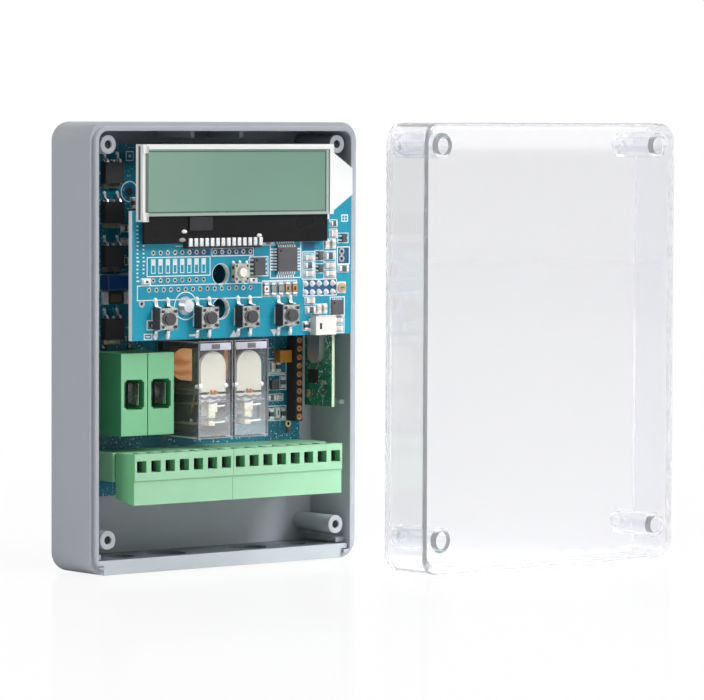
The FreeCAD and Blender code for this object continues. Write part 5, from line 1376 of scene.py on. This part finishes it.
    def clips(self) -> None:
        """Adds the solder that covers the screen's clips, a black strip of painted shadow below
        them, and what lies beside them.
        """
        shape = Shape("screen_clip_solder", SOLDER, BLACK, WHITE, GREY_FACE)
        for clip in range(self.clips_count):
            shape.plate(about(self.clips_first + self.clips_pitch * clip, 0.62), (92.35, 94.65),
                        2.67, 0, 0.12, 2.15)
        # Painted shadow: a black strip below the clips.
        shape.plate((-19.1, 7.7), (91.7, 93.15), 2.15, 1, 0.1)
        for (x, lift, z), profile, finish, squeeze in self.blobs:
            shape.turned((x, Plane.REAR_GLASS.value + lift, z), profile, finish, 14,
                         squeeze=squeeze)
        shape.plate((8.6, 13.3), (92.5, 93.1), 0.7, 2, 0.1)
        shape.plate((10.2, 11.8), (92.45, 93.05), 0.74, 3, 0.1)
        shape.finish(Slot.TIN)

    def usb_details(self) -> None:
        """Adds the latch slot, the rim and the side tabs of the USB socket."""
        low, high = (Vector(corner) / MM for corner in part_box("usb_socket"))
        foot, top = low.z - BASE_BOTTOM, high.z - BASE_BOTTOM
        shape = Shape("usb_details", USB_PALE, RECESS_SHADE, SOLDER, GREY_FACE, face=low.y)
        # Painted shade: a dark bar for the latch slot.
        shape.plate((low.x + 1.5, low.x + 2.25), (foot + 1.7, foot + 3.5), 0.03, 1, 0.02, -0.1)
        for rim in ((foot, foot + 0.35), (top - 0.3, top)):
            shape.plate((low.x + 0.1, high.x - 0.1), rim, 0.1, 0, 0.05, -0.1)
        shape.slab((low.x + 1.1, low.x + 1.9), (low.y + 0.3, self.face), (top, top + 0.45), 3, 0.1)
        for z in (foot + 0.9, top - 1.9):
            shape.slab((low.x - 0.7, low.x), (self.face - 0.4, self.face), (z, z + 1.1), 2, 0.12)
        shape.finish(Slot.TIN)


@dataclass
class Keys:
    """The four push switches and the reset switch."""

    count: int = 4
    first: float = -26.6
    pitch: float = 14.65
    height: float = 72.1
    plate: float = Plane.KEY_PLATE.value
    rivet: Profile = ((0.5, 0.0), (0.46, 0.1), (0.3, 0.16), (0.0, 0.18))
    rivet_step: float = 2.2
    leg_step: float = 2.16
    leg_path: Profile = ((3.12, 2.3), (3.3, 1.9), (3.5, 0.6), (3.9, 0.36), (4.9, 0.36))
    leg_size: Span = (1.05, 0.14)
    collar: Point = (2.15, 1.85, 0.1)
    joint_step: float = 5.0
    joint_squeeze: float = 1.35
    joint: Profile = ((0.72, 0.0), (0.68, 0.2), (0.42, 0.5), (0.0, 0.62))
    reset_place: Span = (0.7, 84.7)
    reset_corner: Span = (1.95, 1.85)
    reset_collar: Point = (1.85, 1.5, 0.08)
    reset_dot: Profile = ((0.36, 0.0), (0.34, 0.04), (0.0, 0.05))
    reset_joint: Profile = ((0.6, 0.0), (0.55, 0.25), (0.0, 0.55))
    reset_joints: tuple[Span, ...] = (
        (-0.6, -2.75), (1.7, -2.7), (0.4, 2.8), (2.9, 2.6), (-1.9, 2.7))

    def build(self) -> None:
        """Adds rivets, collars and the solder at every leg."""
        rivets = Shape("key_rivets", BLACK, NICKEL)
        solder = Shape("key_solder", SOLDER)
        for way in range(self.count):
            x = self.first + self.pitch * way
            for side, up in product(ENDS, ENDS):
                rivets.turned((x + side * self.rivet_step, self.plate,
                               self.height + up * self.rivet_step), self.rivet, 0, 14)
                self.leg(solder, x + side * self.leg_step, up)
            rivets.ring((x, self.plate, self.height), *self.collar, 1, sides=28)
        self.reset(rivets, solder)
        rivets.finish(Slot.BLACK)
        solder.finish(Slot.TIN)

    def leg(self, shape: Shape, x: float, up: int) -> None:
        """Adds the bright leg and solder at one corner of a key.

        Args:
            shape: The shape to add to.
            x: The leg's middle.
            up: Whether it leaves above the key, 1, or below it, -1.
        """
        path = [(x, shape.face - rise, self.height + up * out) for out, rise in self.leg_path]
        shape.strip(path, X_WAY, *self.leg_size)
        shape.turned((x, shape.face, self.height + up * self.joint_step), self.joint, 0, 14,
                     squeeze=self.joint_squeeze)

    def reset(self, plates: Shape, solder: Shape) -> None:
        """Adds the corner marks, the collar and the solder of the reset switch.

        Args:
            plates: The shape of dark and plated parts.
            solder: The shape of solder.
        """
        (x, z), front = self.reset_place, Plane.RESET_PLATE.value
        for side, up in product(ENDS, ENDS):
            plates.turned((x + side * self.reset_corner[0], front, z + up * self.reset_corner[1]),
                          self.reset_dot, 0, 12)
        for side in ENDS:
            plates.slab((x - 2.54, x - 2.5), (front + 0.5, front + 1.5),
                        about(z + side * 1.3, 0.45))
        plates.ring((x, front, z), *self.reset_collar, 1, sides=24)
        for step, up in self.reset_joints:
            solder.turned((x + step, solder.face, z + up), self.reset_joint, 0, 12)


@dataclass
class Screen:
    """The liquid crystal display: the lines of its frame and its left bar."""

    front: float = Plane.FRONT_GLASS.value
    glass_x: Span = (-34.2, 31.6)
    glass_z: Span = (101.0, 119.7)
    bar_left: float = -35.6

    def build(self) -> None:
        """Adds the frame's dark lines, its pale bands and the left bar, with painted shade on the
        bar's left face.
        """
        left, right = self.glass_x
        low, high = self.glass_z
        lines = Shape("screen_border", LINE_DARK, FRAME_LINE, face=self.front)
        lines.outline((left + 0.25, right - 1.35), (low + 0.95, high - 0.35), 0.3)
        lines.plate((left + 0.75, left + 0.87), (low + 1.3, high - 0.7), 0.02, 1)
        lines.plate((right - 0.35, right - 0.12), (low + 0.2, high - 0.1), 0.03)
        lines.plate((right - 1.3, right - 0.4), (low + 0.2, high - 0.1), 0.03, 1)
        lines.plate((left + 0.1, right - 0.1), (low + 0.08, low + 0.75), 0.035, 1)
        lines.finish(Slot.GLASS)
        bar = Shape("screen_side_bar", WHITE, BAR_TONE_AND_SHADE, NICKEL, face=self.front)
        bar.plate((-34.62, -34.28), (low + 1.1, high - 1.1), 0.08, 1, 0.02)
        # Painted shade: a thin grey sheet on the left face of the bar.
        bar.plate((self.bar_left - 0.02, self.bar_left), (low - 1.0, high + 1.0), -1.0, 1,
                  foot=-2.0)
        for span in ((low - 1.3, low + 0.9), (high - 0.9, high + 1.3)):
            bar.plate((-34.5, -33.75), span, 0.48, 2, 0.02, 0.4)
        bar.finish(Slot.GUIDE)


@dataclass
class Relay:
    """One relay: the leads of its coil, its contact leaves and the strip on its case."""

    side: str
    middle: float
    armature: Body
    spring_depth: float = -24.65
    case_half: float = 6.2
    case_z: Span = (37.4, 65.4)
    lead_path: tuple[Point, ...] = (
        (4.2, -10.8, 53.5), (4.6, -10.6, 50.0), (4.4, -9.6, 46.0), (4.4, -8.4, 42.0))
    lead_joint: Profile = ((0.5, 0.0), (0.45, 0.2), (0.0, 0.4))
    stack: tuple[Row, ...] = (
        (-1.56, 1.2, 44.95, 47.6, 0.04, 1, 0.03, -0.4),
        (-1.5, 0.8, 43.3, 45.2, -0.02, 1, 0.15, -1.2), (-1.1, 0.5, 46.2, 47.4, 0.12, 3, 0.06))
    pigtails: tuple[Span, ...] = ((-0.9, 0.0), (-0.3, 0.5), (0.3, 0.1), (0.8, 0.6))
    peg: Profile = ((0.6, 0.0), (0.78, 0.25), (0.66, 0.55), (0.3, 0.78), (0.0, 0.82))
    stem: Profile = ((1.66, 0.0), (1.7, 0.15), (1.7, 1.2), (1.5, 1.35), (1.5, 2.4))
    leaves: tuple[tuple[float, float, Row], ...] = (
        (48.9, 0.8, (0.1, 0.3, 0.05, -0.1, 0.2, 0.4, 0.1, -0.05, 0.15, 0.3, 0.0, 0.1, 0.25, 0.1)),
        (47.8, 0.6, (0.35, 0.05, -0.1, 0.15, 0.0, -0.25, -0.3, -0.1, 0.2, 0.05, 0.25, 0.35, 0.2,
                     0.4)))

    def build(self) -> None:
        """Adds the leads, the case marks and the spring."""
        self.leads()
        self.case_label_and_edge_highlights()
        self.spring()

    def leads(self) -> None:
        """Adds the coil's two leads and the terminal pins that show through the case."""
        x = self.middle
        shape = Shape(f"relay_{self.side}_leads", COPPER, SOLDER, PALE_GOLD)
        for side in ENDS:
            shape.wire([(x + side * out, y, z) for out, y, z in self.lead_path], 0.2)
            shape.turned((x + side * 4.4, -9.0, 41.6), self.lead_joint, 1, 12)
        shape.slab((x - 1.4, x + 0.8), (-24.5, -22.4), (41.0, 42.3), 2, 0.15)
        for z, thick in ((41.8, 0.28), (46.4, 0.24)):
            shape.wire(((x + 1.2, -23.0, z), (x + 3.2, -23.6, z + 0.1), (x + 4.9, -23.6, z + 0.25)),
                       thick, 1)
        shape.finish(Slot.COPPER)

    def case_label_and_edge_highlights(self) -> None:
        """Adds the strip across the case's front and painted highlights along its edges."""
        x, half, (low, high) = self.middle, self.case_half, self.case_z
        shape = Shape(f"relay_{self.side}_case_label_and_edge_highlights", CASE_STRIP_AND_HIGHLIGHT, LABEL_MARK, CASE_EDGE_HIGHLIGHT,
                      face=Plane.RELAY_FRONT.value)
        shape.plate(about(x, 5.5), (62.7, 64.7), 0.05, 0, 0.02)
        shape.plate(about(x, 1.5), (63.0, 64.4), 0.09, 1, 0.02, 0.04)
        # Painted highlight: pale lines round the case's front.
        shape.outline((x - half + 0.12, x + half - 0.12), (low + 0.12, high - 0.12), 0.18, 2)
        # Painted highlights: pale lines along the case's edges, running back.
        for edge in (x - half, x + half):
            for z, tone in ((low + 0.2, 0), (high - 0.6, 2)):
                shape.slab(about(edge, 0.02), (shape.face + 0.5, -6.3), (z, z + 0.4), tone)
            shape.slab(about(edge, 0.02), (-6.7, -6.3), (low + 0.6, high - 0.6), 2)
        shape.finish(Slot.CASE)

    def spring(self) -> None:
        """Adds the leaves, their pegs and the contact stack, which rock with the armature."""
        x, depth = self.middle, self.spring_depth
        shape = Shape(f"relay_{self.side}_spring", LEAF, PALE_GOLD, COPPER, SOLDER, STEM_GREY,
                      face=depth)
        for level, width, rises in self.leaves:
            path = [(x - 5.2 + 0.8 * i, depth - 0.02 - 0.12 * (i % 3 == 1), level + rise)
                    for i, rise in enumerate(rises)]
            shape.strip(path, (0.0, 0.22, 0.975), width, 0.12)
        for side in ENDS:
            shape.turned((x + side * 4.55, depth + 0.35, 52.4), self.peg, 3, 14)
        for step, drop in self.pigtails:
            shape.wire(((x + step, depth, 51.3 - drop), (x + step + 0.3, depth - 0.1, 50.9),
                        (x + step + 0.1, depth, 50.1)), 0.34, 2)
        for left, right, low, high, *rest in self.stack:
            shape.plate((x + left, x + right), (low, high), *rest)
        shape.turned((x, -21.5, 42.55), self.stem, 4, 20, Facing.UP)
        shape.finish(Slot.ARMATURE, self.armature)


@dataclass
class MainBoard:
    """The lower board: printed marks, pads, leads and small parts beside the relays."""

    face: float = Plane.MAIN_BOARD.value
    transistors: Row = (113.0, 101.7, 89.3, 68.6)
    posts: Point = (41.2, 121.1, 9.8)
    wire_openings: Span = (-30.45, -21.05)
    lead_x: Span = (-32.85, -28.35)
    lead_size: Span = (0.68, 0.2)
    clamp_z: Span = (47.5, 53.7)
    shunt_caps: tuple[Span, ...] = ((-33.95, -32.1), (-26.7, -24.85))
    lead_path: Profile = ((-8.0, -0.05), (-7.7, 0.7), (-6.6, 1.3), (-6.5, 2.4))
    lead_joint: Profile = ((0.55, 0.0), (0.5, 0.3), (0.0, 0.7))
    bore: Profile = ((1.19, 0.0), (1.19, 0.1), (0.0, 0.1))
    screw_hole: Point = (-23.9, Plane.MAIN_BOARD.value, 107.6)
    boxes: tuple[Row, ...] = (
        (-34.6, 79.3, -24.2, 84.2), (-25.2, 116.3, -22.4, 119.1), (26.3, 53.7, 33.3, 58.3),
        (26.3, 48.9, 33.3, 53.5), (26.3, 39.9, 33.3, 44.4), (13.3, 42.0, 17.8, 65.4))
    pads: tuple[Span, ...] = ((34.1, 38.9), (-36.2, 118.5), (-36.3, 106.6), (-36.4, 83.6))
    small: SmallRows = (
        (Small.CERAMIC, (
            (28.0, 55.8, 1.3, 2.5), (30.6, 46.8, 2.4, 1.3), (15.6, 55.8, 2.6, 1.4),
            (19.6, 43.2, 1.4, 2.6), (-25.6, 93.3, 2.0, 1.3), (-22.4, 99.4, 1.4, 2.6))),
        (Small.BLACK, (
            (30.1, 55.8, 1.3, 2.5), (31.9, 51.2, 1.5, 2.6), (27.6, 46.8, 2.4, 1.3),
            (27.6, 41.9, 1.4, 2.6), (32.0, 42.0, 1.4, 2.6), (15.5, 62.8, 3.4, 1.9),
            (15.5, 58.9, 2.6, 1.4), (15.5, 45.5, 3.4, 1.9), (19.6, 47.5, 1.4, 2.6),
            (19.8, 60.5, 1.4, 2.6), (-25.6, 97.1, 2.0, 1.3), (-25.5, 87.8, 2.0, 1.4),
            (-22.5, 104.3, 1.4, 2.6), (-22.6, 86.9, 1.9, 3.4))),
        (Small.LAMP, ((29.8, 42.2, 1.4, 2.4),)))

    def build(self) -> None:
        """Builds the marks, pads and small parts."""
        self.marks()
        shape = Shape("main_pads", GOLD, RECESS_SHADE, TIN, face=self.face)
        shape.plated_holes(self.pads, BIG_PAD)
        shape.finish(Slot.GOLD)
        SmallParts("main_small_parts", self.face, self.small).build()
        self.transistor_ends()
        self.post_bore_shade()
        self.clamp_sides()

    def marks(self) -> None:
        """Prints the outlines, without any lettering."""
        shape = Shape("main_marks", INK, MASK_SHADE, RECESS_SHADE, face=self.face)
        for x0, z0, x1, z1 in self.boxes:
            shape.outline((x0, x1), (z0, z1))
        shape.ring(self.screw_hole, 3.0, 2.75, INK_RISE, sides=32)
        shape.turned(self.screw_hole, ((1.9, 0.0), (1.9, 0.03), (0.0, 0.03)), 1, 28)
        # Painted shade: a dark disc for the screw hole.
        shape.turned(self.screw_hole, ((1.1, 0.0), (1.1, 0.05), (0.0, 0.05)), 2, 24)
        shape.turned((-23.8, self.face, 117.7), ((0.45, 0.0), (0.45, INK_RISE), (0.0, INK_RISE)))
        shape.finish(Slot.MAIN_BOARD)

    def transistor_ends(self) -> None:
        """Adds the bright leads and tabs of the transistors and the caps of the shunt."""
        shape = Shape("transistor_ends", SOLDER, TAB, OLIVE_FACE, face=self.face)
        for middle in self.transistors:
            top, foot = middle + 3.0, middle - 3.0
            for x in self.lead_x:
                shape.strip([(x, y, top + up) for y, up in self.lead_path], X_WAY,
                            *self.lead_size)
                shape.turned((x, self.face, top + 2.5), self.lead_joint, 0, 12)
            shape.plate((-31.0, -30.2), (top, top + 0.7), 1.9, 0, 0.1, 1.2)
            shape.plate((-33.4, -27.8), (foot - 1.45, foot + 0.02), 0.95, 1, 0.1)
        for cap in self.shunt_caps:
            shape.plate(cap, (75.6, 79.2), 1.35, 0, 0.12)
        shape.plate((-31.3, -27.5), (76.2, 78.6), 1.28, 2, 0.04, 1.1)
        shape.finish(Slot.TIN)

    def post_bore_shade(self) -> None:
        """Puts a dark disc of painted shade in the depth of the four bores that take the cover's
        screws.
        """
        shape = Shape("post_bore_shade", RECESS_SHADE)
        for end, z in product(ENDS, self.posts[1:]):
            shape.turned((end * self.posts[0], -18.8, z), self.bore, 0, 24)
        shape.finish(Slot.BLACK)

    def clamp_sides(self) -> None:
        """Adds the metal sides of the clamps that show inside the supply terminals."""
        shape = Shape("power_clamp_sides", NICKEL, DARK_METAL)
        for right in self.wire_openings:
            shape.slab((right - 0.2, right), (-19.6, -14.6), self.clamp_z, 0, 0.05)
            shape.slab((right - 0.24, right - 0.02), (-18.4, -17.9), self.clamp_z, 1, 0.02)
        shape.finish(Slot.TIN)


@dataclass
class Receiver:
    """The upright radio module: small parts on the side that faces left."""

    face: float = 37.2
    spots: int = 46
    spot_y: Span = (-11.4, -10.2)
    spot_z: Span = (46.8, 20.6)
    spread: Span = (0.618, 0.371)
    parts: tuple[Row, ...] = (
        (-13.0, 77.6, 1.2, 2.0), (-16.2, 77.6, 1.2, 2.0), (-19.4, 76.4, 1.2, 2.0),
        (-18.6, 71.5, 2.0, 1.2), (-19.0, 68.4, 2.0, 1.2), (-19.2, 51.6, 2.0, 1.2),
        (-19.0, 48.6, 1.2, 2.0), (-12.0, 48.2, 1.2, 2.0))

    def build(self) -> None:
        """Adds the module's small parts and the pale spots of its printing."""
        shape = Shape("receiver_small_parts", CHIP_BLACK, CERAMIC, TIN, INK)
        for number, (y, z, deep, high) in enumerate(self.parts):
            wide, tall = about(y, deep / 2), about(z, high / 2)
            shape.slab((self.face - 0.6, self.face), wide, tall, number % 2, 0.06)
            for end in ENDS:
                spans = ((about(y + end * (deep / 2 - 0.15), 0.25), tall) if deep > high
                         else (wide, about(z + end * (high / 2 - 0.15), 0.25)))
                shape.slab((self.face - 0.64, self.face), *spans, 2, 0.06)
        for spot in range(self.spots):
            y, z = (start + reach * (spot * step % 1.0) for (start, reach), step in zip(
                (self.spot_y, self.spot_z), self.spread))
            more = 0.05 * (spot % 3)
            shape.turned((self.face, y, z), ((0.16 + more, 0.0), (0.14 + more, 0.05),
                                             (0.0, 0.06)), 3, 6, Facing.LEFT)
        shape.finish(Slot.RESISTOR)


@dataclass
class EntryPlate:
    """Painted shade: darker linings in the entry plate's round knockouts."""

    middle: float = -11.3
    level: float = 3.1
    depth: float = 0.98
    thick: Span = (0.08, 0.06)
    cups: tuple[Span, ...] = ((-31.0, 4.45), (-14.7, 5.95), (14.7, 5.95), (31.0, 4.45))

    def build(self) -> None:
        """Adds a cup of painted shade to each knockout, with a thin wall and a thin floor."""
        shape = Shape("knockout_shade_cups", KNOCKOUT_SHADE)
        wall, floor = self.thick
        for x, reach in self.cups:
            shape.turned((x, self.middle, self.level),
                         ((reach, 0.0), (reach, self.depth), (reach - wall, self.depth),
                          (reach - wall, floor), (0.0, floor)), 0, 40, Facing.UP)
        shape.finish(Slot.HOUSING, Body.CABLE_PLATE)


def dress_nodes() -> None:
    """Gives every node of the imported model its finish."""
    for name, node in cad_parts.items():
        material = NODE_FINISHES[name].material()
        for slot in node.material_slots:
            slot.material = material
        LOG.info("node %s: %s", name, material.name)


def main() -> None:
    """Builds the studio and every sub-assembly in order."""
    logging.basicConfig(level=logging.INFO, format="%(name)s %(message)s")
    Studio().build()
    dress_nodes()
    MainBoard().build()
    DisplayBoard().build()
    Keys().build()
    Screen().build()
    Relay("left", -8.1, Body.ARMATURE_LEFT).build()
    Relay("right", 4.8, Body.ARMATURE_RIGHT).build()
    Receiver().build()
    EntryPlate().build()


if __name__ == "__main__":
    main()
